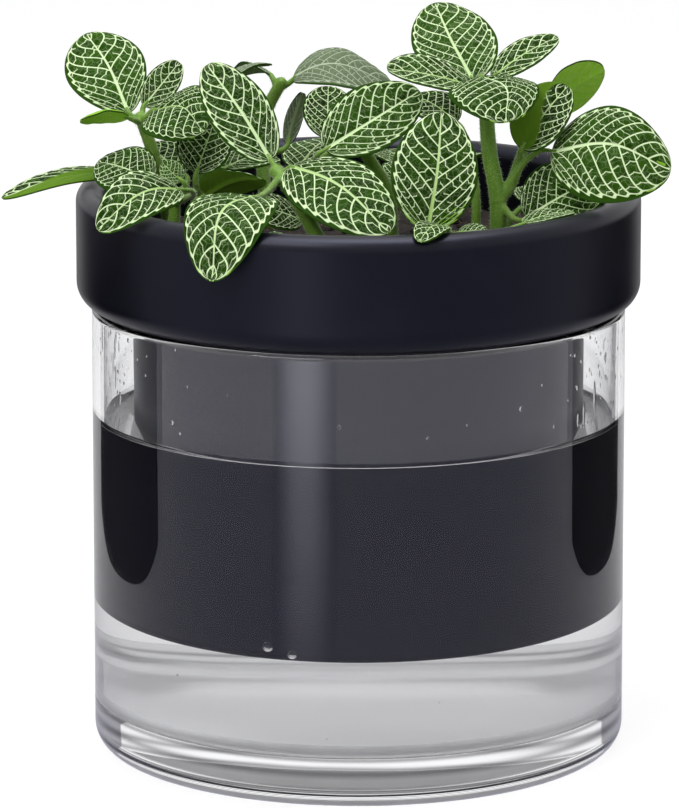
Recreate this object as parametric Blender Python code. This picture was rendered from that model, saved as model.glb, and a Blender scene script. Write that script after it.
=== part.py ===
"""A self-watering planter: a black clay pot hangs by its collar in a clear glass jar of water, with
potting soil and a nerve plant in it. Metres, +Z up, origin on the table under the jar's axis."""

import math
from collections import namedtuple

import bmesh
import bpy
from mathutils import Vector

MM = 0.001

# Glass jar
JAR_RADIUS = 66.3 * MM
JAR_HEIGHT = 113.0 * MM
JAR_WALL = 2.9 * MM
JAR_FLOOR = 12.3 * MM
JAR_HEEL_RADIUS = 6.5 * MM
JAR_CORNER_RADIUS = 4.0 * MM

# Clay pot: a collar that rests on the jar's rim and a body that hangs in the water
COLLAR_OVERHANG = 3.7 * MM
COLLAR_HEIGHT = 29.2 * MM
COLLAR_WALL = 7.2 * MM
COLLAR_HEEL_RADIUS = 5.6 * MM
LEDGE_THICKNESS = 7.0 * MM
POT_SIDE_CLEARANCE = 7.4 * MM
POT_FLOOR_CLEARANCE = 22.9 * MM
POT_WALL = 6.5 * MM
POT_FLOOR = 7.0 * MM
POT_EDGE_RADIUS = 2.0 * MM

# Fillings
WATER_BELOW_RIM = 28.6 * MM
SOIL_OVER_LEDGE = 5.7 * MM

# Plant
LEAF_THICKNESS = 0.8 * MM
LEAF_END_WIDTH = 1.2 * MM
LEAF_WIDEST = 0.92
LEAF_ROUNDNESS = 0.62
STALK_RADIUS = 0.7 * MM
STALK_TAPER = 0.75
STALK_BEND = 0.3
STEM_TAPER = 0.8
STEM_FOOT = 2.5 * MM

# Clearance between pieces that touch
GAP = 0.3 * MM

# Fineness
TURN_STEPS = 56
ARC_STEPS = 4
LEAF_ROWS = 7
LEAF_COLUMNS = 4
CURVE_STEPS = 2
STEM_ROUND_STEPS = 2
STALK_ROUND_STEPS = 1
SLOPE_STEP = 0.01
SHARP_ANGLE = math.radians(40)
WELD = 0.001 * MM

# What follows from the sizes above
JAR_BORE = JAR_RADIUS - JAR_WALL
COLLAR_RADIUS = JAR_RADIUS + COLLAR_OVERHANG
COLLAR_BORE = COLLAR_RADIUS - COLLAR_WALL
COLLAR_BOTTOM = JAR_HEIGHT + GAP
LIP_TOP = COLLAR_BOTTOM + COLLAR_HEIGHT
LEDGE_TOP = COLLAR_BOTTOM + LEDGE_THICKNESS
POT_RADIUS = JAR_BORE - POT_SIDE_CLEARANCE
POT_BORE = POT_RADIUS - POT_WALL
POT_BOTTOM = JAR_FLOOR + POT_FLOOR_CLEARANCE
SOIL_TOP = LEDGE_TOP + SOIL_OVER_LEDGE
WATER_TOP = JAR_HEIGHT - WATER_BELOW_RIM

# The plant fills its pot, so x and y of its places are from the pot's axis, in hundredths of the
# collar's radius. All its other sizes are in millimetres, and z is from the lip's top. A stem starts at
# its foot, an x and y on the soil, or branches off a joint of another stem, and goes through its points.
# A leaf sits at the end of a stalk from one of its stem's points, faces the way its upper side looks,
# and reaches from base to tip. The arch lifts the midrib off that line. The cup lifts the edges by a
# share of the half width, or hangs them where it is negative. The crest is where the arch is highest, a
# share of the length. A greater widest puts the blade's widest place nearer its tip.
Foot = namedtuple("Foot", "x y")
Fork = namedtuple("Fork", "stem joint")
Stem = namedtuple("Stem", "radius start points")
Leaf = namedtuple(
    "Leaf", "stem joint base tip width faces arch cup crest widest", defaults=(0, 0.5, LEAF_WIDEST)
)

STEMS = {
    "stem_left": Stem(1.9, Foot(-67.1, 7.1), ((-68.6, 7.1, -5), (-72.9, 7.1, 7), (-77.1, 5.7, 16))),
    "stem_left_low": Stem(1.7, Foot(-65.7, -15.7), ((-65, -15.7, -8), (-64.3, -15.7, -1))),
    "stem_mid_left": Stem(2.3, Foot(-55.7, 1.4), ((-55, 0, -4), (-52.9, 8.6, 8), (-50, 21.4, 19))),
    "stem_front": Stem(2.1, Foot(-8.6, -52.9), ((-14.3, -52.9, -6), (-22.1, -45.7, 3), (-28.6, -37.1, 8))),
    "stem_back": Stem(1.9, Foot(-32.9, 30), ((-34.3, 36.4, 3), (-32.9, 42.9, 13), (-27.9, 44.3, 20))),
    "stem_back_right": Stem(1.6, Foot(22.9, 30), ((23.6, 34.3, -4),)),
    "stem_right_back": Stem(1.5, Foot(51.4, 5.7), ((53.6, 7.1, -9),)),
    "stem_centre": Stem(1.9, Foot(11.4, -8.6), ((10, -12.9, 0), (2.9, -11.4, 9), (0, -4.3, 14))),
    "stem_right": Stem(2.3, Foot(48.6, -27.1), ((48.8, -24.3, -1), (45.8, -20, 11), (44.6, -12.9, 26))),
    "stem_right_side": Stem(
        1.6, Fork("stem_right", 0), ((52.9, -22.9, 2.5), (56.5, -20, 8.5), (59.6, -16.4, 15.5))
    ),
    "stem_right_rear": Stem(1.3, Foot(41.4, -7.1), ((41.4, -5.7, -2), (39.3, 0, 8))),
    "stem_right_front": Stem(1.6, Foot(38.6, -54.3), ((35, -60, -9), (28.6, -64.3, -4.5))),
}

LEAVES = {
    "leaf_left_crown": Leaf(
        "stem_left", 2, (-81.4, 5.7, 17.5), (-97.1, 32.9, 34), 20, (0.1, -1, 0.55), 1.5, -0.1, widest=1.15
    ),
    "leaf_left_side": Leaf("stem_left", 2, (-81.4, 0, 17), (-97.9, -5.7, 17), 11, (0, 0.5, 1), 1.5, -0.2),
    "leaf_left_bud": Leaf(
        "stem_left", 2, (-75.7, 7.9, 19), (-63.6, 17.1, 28.5), 8, (0.3, -1, 0.6), 0.5, 0.1
    ),
    "leaf_left_inner": Leaf(
        "stem_left", 2, (-72.1, 0, 18.8), (-54.3, -12.9, 15), 21, (0.25, -0.9, 0.9), 3
    ),
    "leaf_left_long": Leaf(
        "stem_left", 0, (-77.9, 12.9, 1), (-125.7, -5.7, -2.6), 12, (0, -0.12, 1), 2.8
    ),
    "leaf_left_lip": Leaf(
        "stem_left_low", 1, (-72.9, -13.6, 3.2), (-92.1, 0, 5.8), 16, (0, -0.8, 1), 1.5, -0.1
    ),
    "leaf_left_over_lip": Leaf(
        "stem_left_low", 1, (-62.1, -45, 4.8), (-89.7, -62.9, -2.7), 14.5, (-0.15, -0.9, 0.8), 6
    ),
    "leaf_left_tiny": Leaf(
        "stem_left_low", 1, (-62.1, -23.6, 4), (-68.6, -20.7, 8), 6, (-0.3, -1, 0.6), 0.4, 0.1
    ),
    "leaf_left_dark": Leaf("stem_left", 0, (-62.4, 17.1, 0.4), (-75.7, 29.3, 6), 12, (0, -0.8, 1), 1),
    "leaf_mid_left_up": Leaf(
        "stem_mid_left", 0, (-57.1, -7.1, 4), (-50.7, 1.4, 16), 14, (-0.2, -1, 0.6), 1, 0.1
    ),
    "leaf_mid_left_under": Leaf(
        "stem_mid_left", 0, (-52.9, -24.3, 1), (-34.3, -44.3, 7.5), 14, (0.2, 0.5, 1), 1.5
    ),
    "leaf_mid_left_flat": Leaf(
        "stem_mid_left", 1, (-47.1, 2.9, 4), (-28.6, 12.9, 5), 13, (0, -0.2, 1), 1.5
    ),
    "leaf_mid_left_back": Leaf(
        "stem_mid_left", 2, (-47.1, 24.3, 23), (-31.4, 34.3, 26), 8, (0, 0.25, 1), 2, -0.1
    ),
    "leaf_front_drooping": Leaf(
        "stem_front", 2, (-35.7, -62.9, 5.5), (-50, -95.7, -10.5), 22, (-0.2, -0.6, 1), 7.5, widest=0.85
    ),
    "leaf_front_tall": Leaf(
        "stem_front", 2, (-30.7, -35.7, 11), (-52.9, -17.1, 32), 15, (0, -1, 0.55), 0.8, 0.1
    ),
    "leaf_front_centre": Leaf(
        "stem_front", 2, (-23.6, -40.7, 9.8), (10.4, -71.4, -2.2), 22, (0.3, -0.9, 0.8), 3, -0.05, crest=0.45
    ),
    "leaf_front_shade": Leaf("stem_front", 1, (-20, -35.7, -4), (-38.6, -42.9, 0), 12, (0, -0.7, 1), 1),
    "leaf_front_low": Leaf("stem_front", 0, (-20, -61.4, -6), (-31.4, -74.3, -5), 9, (0, -0.5, 1), 1),
    "leaf_centre_bright": Leaf(
        "stem_centre", 2, (-11.4, -24.3, 12), (21.4, -8.6, 24.5), 18, (0, -0.9, 0.75), 1, 0.1
    ),
    "leaf_centre_dark": Leaf(
        "stem_centre", 2, (-10.7, -1.4, 12), (-10.7, 12.9, 23), 13, (0.1, -1, 0.5), 0.8, 0.1
    ),
    "leaf_centre_back": Leaf("stem_centre", 0, (14.3, 4.3, 0), (25.7, 31.4, 0), 16, (0, -0.2, 1), 2),
    "leaf_back_arching": Leaf(
        "stem_back", 2, (-23.6, 45, 21), (12.9, 48.6, 18.5), 20, (0, -0.35, 1), 5.5, -0.1, crest=0.4
    ),
    "leaf_back_thin": Leaf("stem_back", 2, (-31.4, 46.4, 22), (-45, 54.3, 21), 10, (0, 0.5, 1), 2.5, -0.1),
    "leaf_back_pale": Leaf("stem_back", 0, (-25.7, 42.9, 5), (-20, 48.6, 17), 5, (-0.3, 0.9, 0.3), 0.5),
    "leaf_back_middle": Leaf("stem_back", 0, (-21.4, 50, -2), (-8.6, 77.1, 2), 17, (0, 0.3, 1), 2),
    "leaf_back_left": Leaf("stem_back", 0, (-35.7, 41.4, -1), (-51.4, 65.7, -1), 16, (0, 0.3, 1), 2),
    "leaf_back_right": Leaf("stem_back_right", 0, (30, 41.4, -1), (40, 65.7, -2), 15, (0, 0.3, 1), 2),
    "leaf_back_inner": Leaf("stem_back_right", 0, (17.1, 40, 0), (7.1, 58.6, 1), 14, (0, 0.1, 1), 1.5),
    "leaf_right_back": Leaf("stem_right_back", 0, (60, 12.9, -6), (72.9, 34.3, -6), 15, (0.2, 0.3, 1), 1.5),
    "leaf_right_crown": Leaf(
        "stem_right", 2, (40, -10, 27.5), (27.1, 21.4, 43), 21, (0.15, -1, 0.7), 1.5, -0.1
    ),
    "leaf_right_crown_left": Leaf(
        "stem_right", 2, (38.6, -15.7, 27), (10, -24.3, 32), 14, (0, -0.5, 1), 1, 0.1
    ),
    "leaf_right_crown_back": Leaf("stem_right", 2, (47.1, -7.1, 28), (70, 0, 37), 11, (-0.5, -0.7, 1), 1),
    "leaf_right_crown_front": Leaf(
        "stem_right", 2, (42.9, -18.6, 29.5), (51.4, -41.4, 21), 23, (0.1, -0.5, 1), 3, -0.12
    ),
    "leaf_right_under": Leaf(
        "stem_right_side", 2, (64.3, -11.4, 19), (86.4, -2.9, 29.5), 16, (-0.5, 0.9, 0.6), 1, widest=1.1
    ),
    "leaf_right_folded": Leaf(
        "stem_right_side", 1, (57.1, -25.7, 12.5), (72.9, -20, 27), 15, (-0.5, -0.9, 0.3), 1, 0.25
    ),
    "leaf_right_over_lip": Leaf(
        "stem_right", 0, (67.4, -28.6, 12), (108.6, -37.1, 8.5), 25, (0.1, -1, 0.55), 5, -0.05
    ),
    "leaf_right_low": Leaf("stem_right", 0, (58.6, -31.4, -4), (85, -21.4, 5), 20, (-0.3, -0.9, 0.75), 1.5),
    "leaf_right_thin": Leaf(
        "stem_right_front", 0, (57.1, -55.7, -2), (74.3, -47.1, -0.5), 8, (0, -0.1, 1), 0.8
    ),
    "leaf_right_dark": Leaf("stem_right_rear", 1, (34.3, 7.1, 15), (20, 20, 20), 12, (0, -0.5, 1), 1),
    "leaf_lip_upright": Leaf(
        "stem_right_front", 1, (23.9, -74.3, -1), (28.6, -55.7, 25), 21, (0.05, -1, 0.45), 1.2, -0.1
    ),
    "leaf_lip_small": Leaf(
        "stem_right_front", 1, (28.6, -83.6, 1), (20.7, -98.6, -0.6), 8, (0, -0.4, 1), 1.8
    ),
    "leaf_lip_tiny": Leaf(
        "stem_right_front", 0, (34.3, -74.3, -2), (44.3, -74.3, -1.5), 7, (0, -0.3, 1), 0.5
    ),
}


def clear_scene():
    for item in list(bpy.data.objects):
        bpy.data.objects.remove(item, do_unlink=True)


def material(name, colour, roughness, transmission=0.0, ior=1.5):
    made = bpy.data.materials.new(name)
    made.use_nodes = True
    shader = made.node_tree.nodes["Principled BSDF"]
    shader.inputs["Base Color"].default_value = (*colour, 1.0)
    shader.inputs["Roughness"].default_value = roughness
    shader.inputs["Metallic"].default_value = 0.0
    shader.inputs["Transmission Weight"].default_value = transmission
    shader.inputs["IOR"].default_value = ior
    return made


def add_piece(name, mesh, look):
    """Put a finished mesh in the scene as a piece, shaded smooth but for its real edges."""
    mesh.name = name
    mesh.shade_smooth()
    mesh.set_sharp_from_angle(angle=SHARP_ANGLE)
    mesh.materials.append(look)
    piece = bpy.data.objects.new(name, mesh)
    bpy.context.scene.collection.objects.link(piece)
    return piece


def mesh_from(bm, name):
    bmesh.ops.recalc_face_normals(bm, faces=bm.faces)
    mesh = bpy.data.meshes.new(name)
    bm.to_mesh(mesh)
    bm.free()
    return mesh


def arc(across, up, radius, start, end):
    """Points of a round stretch of an outline, about its centre, between two angles in degrees."""
    turns = [math.radians(start + (end - start) * step / ARC_STEPS) for step in range(ARC_STEPS + 1)]
    return [(across + radius * math.cos(turn), up + radius * math.sin(turn)) for turn in turns]


def turned(name, outline, look):
    """Spin an outline of radius and height, which starts and ends on the axis, into a round piece."""
    bm = bmesh.new()
    verts = [bm.verts.new((radius, 0.0, height)) for radius, height in outline]
    edges = [bm.edges.new(pair) for pair in zip(verts, verts[1:])]
    bmesh.ops.spin(
        bm,
        geom=verts + edges,
        axis=(0, 0, 1),
        cent=(0, 0, 0),
        steps=TURN_STEPS,
        angle=math.tau,
        use_merge=True,
    )
    bmesh.ops.remove_doubles(bm, verts=bm.verts, dist=WELD)
    return add_piece(name, mesh_from(bm, name), look)


def glass_jar(look):
    heel = JAR_RADIUS - JAR_HEEL_RADIUS
    rim = JAR_WALL / 2
    corner = JAR_BORE - JAR_CORNER_RADIUS
    outline = [(0, 0)]
    outline += arc(heel, JAR_HEEL_RADIUS, JAR_HEEL_RADIUS, -90, 0)
    outline += arc(JAR_RADIUS - rim, JAR_HEIGHT - rim, rim, 0, 180)
    outline += arc(corner, JAR_FLOOR + JAR_CORNER_RADIUS, JAR_CORNER_RADIUS, 0, -90)
    outline += [(0, JAR_FLOOR)]
    return turned("glass_jar", outline, look)


def clay_pot(look):
    edge = POT_RADIUS - POT_EDGE_RADIUS
    heel = COLLAR_RADIUS - COLLAR_HEEL_RADIUS
    lip = COLLAR_WALL / 2
    outline = [(0, POT_BOTTOM)]
    outline += arc(edge, POT_BOTTOM + POT_EDGE_RADIUS, POT_EDGE_RADIUS, -90, 0)
    outline += [(POT_RADIUS, COLLAR_BOTTOM)]
    outline += arc(heel, COLLAR_BOTTOM + COLLAR_HEEL_RADIUS, COLLAR_HEEL_RADIUS, -90, 0)
    outline += arc(COLLAR_RADIUS - lip, LIP_TOP - lip, lip, 0, 180)
    outline += [(COLLAR_BORE, LEDGE_TOP), (POT_BORE, LEDGE_TOP)]
    outline += [(POT_BORE, POT_BOTTOM + POT_FLOOR), (0, POT_BOTTOM + POT_FLOOR)]
    return turned("clay_pot", outline, look)


def water(look):
    """The filling of the jar, with the pot's body standing in it."""
    corner = JAR_BORE - JAR_CORNER_RADIUS
    edge = POT_RADIUS - POT_EDGE_RADIUS
    outline = [(0, JAR_FLOOR + GAP)]
    outline += arc(corner, JAR_FLOOR + JAR_CORNER_RADIUS, JAR_CORNER_RADIUS - GAP, -90, 0)
    outline += [(JAR_BORE - GAP, WATER_TOP), (POT_RADIUS + GAP, WATER_TOP)]
    outline += arc(edge, POT_BOTTOM + POT_EDGE_RADIUS, POT_EDGE_RADIUS + GAP, 0, -90)
    outline += [(0, POT_BOTTOM - GAP)]
    return turned("water", outline, look)


def potting_soil(look):
    outline = [
        (0, POT_BOTTOM + POT_FLOOR + GAP),
        (POT_BORE - GAP, POT_BOTTOM + POT_FLOOR + GAP),
        (POT_BORE - GAP, LEDGE_TOP + GAP),
        (COLLAR_BORE - GAP, LEDGE_TOP + GAP),
        (COLLAR_BORE - GAP, SOIL_TOP),
        (0, SOIL_TOP),
    ]
    return turned("potting_soil", outline, look)


def on_pot(place):
    """A place of the plant, in metres."""
    return Vector((place[0] * COLLAR_RADIUS / 100, place[1] * COLLAR_RADIUS / 100, LIP_TOP + place[2] * MM))


def leaf_midrib(leaf):
    """The midrib's place at a share of the length, and the leaf's unarched upward direction."""
    base = on_pot(leaf.base)
    chord = on_pot(leaf.tip) - base
    faces = Vector(leaf.faces)
    up = (faces - chord * faces.dot(chord) / chord.length_squared).normalized()
    skew = math.log(0.5) / math.log(leaf.crest)

    def place(share):
        return base + chord * share + up * leaf.arch * MM * math.sin(math.pi * share**skew)

    return place, up


def leaf_half_width(leaf, share):
    swell = max(math.sin(math.pi * share**leaf.widest), 0.0) ** LEAF_ROUNDNESS
    return (LEAF_END_WIDTH + (leaf.width * MM - LEAF_END_WIDTH) * swell) / 2


def leaf_mesh(name, leaf):
    """Bend a flat grid along the arched midrib, narrow it to the leaf's outline and give it thickness."""
    place, up = leaf_midrib(leaf)
    bm = bmesh.new()
    bmesh.ops.create_grid(bm, x_segments=LEAF_COLUMNS, y_segments=LEAF_ROWS, size=1.0)
    for vert in bm.verts:
        across = vert.co.x
        share = (1 + math.sin(math.pi / 2 * vert.co.y)) / 2
        along = (place(min(share + SLOPE_STEP, 1)) - place(max(share - SLOPE_STEP, 0))).normalized()
        above = (up - along * up.dot(along)).normalized()
        half = leaf_half_width(leaf, share)
        vert.co = place(share) + along.cross(above) * across * half + above * leaf.cup * half * across**2
    bmesh.ops.recalc_face_normals(bm, faces=bm.faces)
    bmesh.ops.solidify(bm, geom=bm.faces[:], thickness=LEAF_THICKNESS)
    return mesh_from(bm, name)


def tube(name, points, radii, round_steps):
    """A smooth round shoot through its points, with a radius at each, as an object of closed mesh."""
    curve = bpy.data.curves.new(name, "CURVE")
    curve.dimensions = "3D"
    curve.bevel_depth = 1.0
    curve.bevel_resolution = round_steps
    curve.resolution_u = CURVE_STEPS
    curve.use_fill_caps = True
    spline = curve.splines.new("BEZIER")
    spline.bezier_points.add(len(points) - 1)
    for knot, point, radius in zip(spline.bezier_points, points, radii):
        knot.co = point
        knot.radius = radius
        knot.handle_left_type = "AUTO"
        knot.handle_right_type = "AUTO"
    guide = bpy.data.objects.new(name, curve)
    bpy.context.scene.collection.objects.link(guide)
    mesh = bpy.data.meshes.new_from_object(guide.evaluated_get(bpy.context.evaluated_depsgraph_get()))
    bpy.data.objects.remove(guide, do_unlink=True)
    bm = bmesh.new()
    bm.from_mesh(mesh)
    bpy.data.meshes.remove(mesh)
    bmesh.ops.remove_doubles(bm, verts=bm.verts, dist=WELD)
    shoot = bpy.data.objects.new(name, mesh_from(bm, name))
    bpy.context.scene.collection.objects.link(shoot)
    return shoot


def stem_points(stem):
    """The stem's places in metres, from square on the soil or from inside the stem it branches off."""
    points = [on_pot(point) for point in stem.points]
    if isinstance(stem.start, Fork):
        return [on_pot(STEMS[stem.start.stem].points[stem.start.joint])] + points
    foot = on_pot((stem.start.x, stem.start.y, 0))
    foot.z = SOIL_TOP + GAP
    return [foot, foot + Vector((0, 0, STEM_FOOT))] + points


def stem_shoot(name, stem):
    points = stem_points(stem)
    fading = [1 - (1 - STEM_TAPER) * index / (len(points) - 1) for index in range(len(points))]
    return tube(name, points, [stem.radius * MM * share for share in fading], STEM_ROUND_STEPS)


def stalk(name, leaf, stem):
    """The leaf's stalk, from inside the stem to just short of the leaf's base."""
    joint = on_pot(stem.points[leaf.joint])
    if leaf.joint == len(stem.points) - 1:
        below = stem_points(stem)[-2]
        joint += (below - joint).normalized() * stem.radius * MM
    place = leaf_midrib(leaf)[0]
    along = (place(SLOPE_STEP) - place(0)).normalized()
    end = place(0) - along * GAP
    bend = end - along * (end - joint).length * STALK_BEND
    radii = [STALK_RADIUS / STALK_TAPER, STALK_RADIUS, STALK_RADIUS * STALK_TAPER]
    return tube(name, [joint, bend, end], radii, STALK_ROUND_STEPS)


def joined(whole, others):
    """Union the other objects into the first and return the mesh that they make."""
    for other in others:
        union = whole.modifiers.new(other.name, "BOOLEAN")
        union.operation = "UNION"
        union.solver = "EXACT"
        union.object = other
    mesh = bpy.data.meshes.new_from_object(whole.evaluated_get(bpy.context.evaluated_depsgraph_get()))
    for item in [whole] + others:
        bpy.data.objects.remove(item, do_unlink=True)
    return mesh


def rooted_on(name, stem):
    """The name of the stem in the soil that the stem is, or branches off."""
    return stem.start.stem if isinstance(stem.start, Fork) else name


def plant(stem_look, leaf_look):
    shoots = {}
    for name, stem in STEMS.items():
        shoots.setdefault(rooted_on(name, stem), []).append(stem_shoot(name, stem))
    for name, leaf in LEAVES.items():
        stem = STEMS[leaf.stem]
        shoots[rooted_on(leaf.stem, stem)].append(stalk(name + "_stalk", leaf, stem))
    for name, (main_shoot, *others) in shoots.items():
        add_piece(name, joined(main_shoot, others), stem_look.copy())
    for name, leaf in LEAVES.items():
        add_piece(name, leaf_mesh(name, leaf), leaf_look.copy())


def main():
    clear_scene()
    glass_jar(material("clear_glass", (0.95, 0.97, 0.98), 0.02, 1.0, 1.5))
    clay_pot(material("black_clay", (0.012, 0.012, 0.016), 0.4))
    water(material("water", (0.95, 0.97, 0.98), 0.0, 1.0, 1.333))
    potting_soil(material("potting_soil", (0.03, 0.02, 0.012), 0.95))
    plant(material("stem", (0.16, 0.30, 0.06), 0.5), material("leaf", (0.03, 0.09, 0.02), 0.45))


main()
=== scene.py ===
"""The looks of a self-watering planter: a black clay pot hung in a clear glass jar of water, with a nerve
plant in it, on a white studio floor. Metres, +Z up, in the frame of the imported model."""

import logging
import math
import random
from abc import ABC, abstractmethod
from dataclasses import dataclass, field
from enum import Enum
from typing import Callable, NamedTuple, Optional, Sequence, Union

import bmesh
import bpy
from mathutils import Matrix, Vector, noise


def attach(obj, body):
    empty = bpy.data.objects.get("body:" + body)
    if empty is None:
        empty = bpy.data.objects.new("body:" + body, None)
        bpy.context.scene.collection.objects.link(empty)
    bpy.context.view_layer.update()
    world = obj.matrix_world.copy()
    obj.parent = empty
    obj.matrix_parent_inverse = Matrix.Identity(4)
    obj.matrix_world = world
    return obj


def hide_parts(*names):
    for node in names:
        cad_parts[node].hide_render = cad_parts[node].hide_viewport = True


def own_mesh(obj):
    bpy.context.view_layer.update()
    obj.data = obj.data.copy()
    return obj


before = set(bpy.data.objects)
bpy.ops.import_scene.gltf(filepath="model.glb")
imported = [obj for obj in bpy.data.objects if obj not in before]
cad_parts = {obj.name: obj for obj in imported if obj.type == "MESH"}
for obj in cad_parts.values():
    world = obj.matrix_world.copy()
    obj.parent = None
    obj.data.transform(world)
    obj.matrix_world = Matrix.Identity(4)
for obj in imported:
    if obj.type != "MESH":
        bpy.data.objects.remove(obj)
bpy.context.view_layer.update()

LOG = logging.getLogger("planter")
MM = 0.001
# Places nearer to each other than this are one.
WELD = 0.001 * MM
# How far from a rounding its plain neighbour stands.
EASE = 0.3 * MM
# How high the water climbs the glass.
MENISCUS = 1.9 * MM

Colour = tuple[float, float, float]
Place = tuple[float, float, float]
Span = tuple[float, float]
Number = Union["Value", float]


class Value:
    """A number that varies over a surface: a socket whose arithmetic adds Math nodes."""

    def __init__(self, graph: "Graph", socket: bpy.types.NodeSocket) -> None:
        """Wrap an output socket.

        Args:
            graph: The material that the socket is in.
            socket: The output socket.
        """
        self.graph = graph
        self.socket = socket

    def __add__(self, other: Number) -> "Value":
        """Sum, in either order."""
        return self.graph.math("ADD", self, other)

    def __sub__(self, other: Number) -> "Value":
        """Difference."""
        return self.graph.math("SUBTRACT", self, other)

    def __rsub__(self, other: Number) -> "Value":
        """Difference from a plain number."""
        return self.graph.math("SUBTRACT", other, self)

    def __mul__(self, other: Number) -> "Value":
        """Product, in either order."""
        return self.graph.math("MULTIPLY", self, other)

    def __pow__(self, other: Number) -> "Value":
        """Power."""
        return self.graph.math("POWER", self, other)

    __radd__ = __add__
    __rmul__ = __mul__

    def size(self) -> "Value":
        """The number without its sign."""
        return self.graph.math("ABSOLUTE", self)

    def whole(self) -> "Value":
        """The whole number below."""
        return self.graph.math("FLOOR", self)

    def over(self, other: Number) -> "Value":
        """One where this is greater, and zero elsewhere."""
        return self.graph.math("GREATER_THAN", self, other)

    def most(self, other: Number) -> "Value":
        """The greater of the two."""
        return self.graph.math("MAXIMUM", self, other)

    def to_nearest(self) -> "Value":
        """The distance to the nearest whole number."""
        return self.graph.math("PINGPONG", self, 0.5)

    def rise(self, low: Number, high: Number) -> "Value":
        """A smooth step from zero at low to one at high, or down where low is the greater."""
        inputs = {"Value": self, "From Min": low, "From Max": high}
        made = self.graph.node("ShaderNodeMapRange", {"interpolation_type": "SMOOTHSTEP"}, inputs)
        return Value(self.graph, made.outputs["Result"])


Input = Union[Value, bpy.types.NodeSocket, float, Sequence[float]]


class Graph:
    """A node tree, with one method for each thing that is done to it."""

    def __init__(self, tree: bpy.types.NodeTree) -> None:
        """Hold a node tree.

        Args:
            tree: The tree that the nodes are added to.
        """
        self.tree = tree

    def feed(self, socket: bpy.types.NodeSocket, value: Input) -> None:
        """Link or set a socket.

        Args:
            socket: The input socket.
            value: What goes into it: a value, another socket, a number or several.
        """
        if isinstance(value, Value):
            self.tree.links.new(value.socket, socket)
        elif isinstance(value, bpy.types.NodeSocket):
            self.tree.links.new(value, socket)
        elif socket.type == "RGBA" and len(value) == 3:
            socket.default_value = (*value, 1.0)
        else:
            socket.default_value = value

    def node(
        self, kind: str, settings: Optional[dict] = None, inputs: Optional[dict] = None
    ) -> bpy.types.Node:
        """Add a node.

        Args:
            kind: The node's type.
            settings: Its properties, set first.
            inputs: Values or links of its sockets, by name or number.

        Returns:
            The node.
        """
        made = self.tree.nodes.new(kind)
        for key, value in (settings or {}).items():
            setattr(made, key, value)
        for key, value in (inputs or {}).items():
            self.feed(made.inputs[key], value)
        return made

    def math(self, operation: str, *values: Number) -> Value:
        """Add a Math node on one or two values."""
        made = self.node("ShaderNodeMath", {"operation": operation}, dict(enumerate(values)))
        return Value(self, made.outputs[0])

    def split(self, vector: bpy.types.NodeSocket) -> tuple[Value, Value, Value]:
        """The three parts of a vector."""
        parts = self.node("ShaderNodeSeparateXYZ", None, {0: vector}).outputs
        return Value(self, parts[0]), Value(self, parts[1]), Value(self, parts[2])

    def attribute(self, name: str) -> bpy.types.NodeSocket:
        """A vector that the mesh holds at each point."""
        return self.node("ShaderNodeAttribute", {"attribute_name": name}).outputs["Vector"]

    def place(self) -> bpy.types.NodeSocket:
        """The place on the object, in metres."""
        return self.node("ShaderNodeTexCoord").outputs["Object"]

    def stretched(self, vector: bpy.types.NodeSocket, scale: Place) -> bpy.types.NodeSocket:
        """A vector scaled by a different share each way."""
        return self.node("ShaderNodeMapping", None, {"Vector": vector, "Scale": scale}).outputs[0]

    def ray(self, kind: str) -> Value:
        """One for a ray of the kind that a Light Path output names, and zero for the others."""
        return Value(self, self.node("ShaderNodeLightPath").outputs[kind])

    def noise(
        self, vector: bpy.types.NodeSocket, scale: float, detail: float = 2.0, roughness: float = 0.5
    ) -> Value:
        """Soft cloudy variation about one half.

        Args:
            vector: Where it is read.
            scale: Clouds in each unit of the vector.
            detail: How many finer layers it has.
            roughness: How strong the finer layers are.

        Returns:
            A value of about 0.2 to 0.8.
        """
        inputs = {"Vector": vector, "Scale": scale, "Detail": detail, "Roughness": roughness}
        return Value(self, self.node("ShaderNodeTexNoise", None, inputs).outputs[0])

    def cells(self, vector: bpy.types.NodeSocket, scale: float, feature: str = "F1") -> Value:
        """The distance to the nearest point, or edge, of scattered cells."""
        made = self.node("ShaderNodeTexVoronoi", {"feature": feature}, {"Vector": vector, "Scale": scale})
        return Value(self, made.outputs["Distance"])

    def chance(self, x: Number, y: Number = 0.0, z: Number = 0.0) -> Value:
        """A number from 0 to 1 that is the same wherever x, y and z are."""
        joined = self.node("ShaderNodeCombineXYZ", None, {0: x, 1: y, 2: z}).outputs[0]
        made = self.node("ShaderNodeTexWhiteNoise", {"noise_dimensions": "3D"}, {"Vector": joined})
        return Value(self, made.outputs["Value"])

    def mix(self, share: Number, first: Input, second: Input) -> bpy.types.NodeSocket:
        """A colour between two, the second where the share is one."""
        inputs = {0: share, 6: first, 7: second}
        return self.node("ShaderNodeMix", {"data_type": "RGBA"}, inputs).outputs[2]

    def layered(self, colour: Input, *layers: tuple[Number, Input]) -> Input:
        """A colour with others laid over it in turn, each by its share."""
        for share, layer in layers:
            colour = self.mix(share, colour, layer)
        return colour

    def bump(self, height: Number, distance: float, strength: float = 1.0) -> bpy.types.NodeSocket:
        """A normal that follows a height, whose unit is a distance in metres."""
        inputs = {"Height": height, "Distance": distance, "Strength": strength}
        return self.node("ShaderNodeBump", None, inputs).outputs[0]


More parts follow.
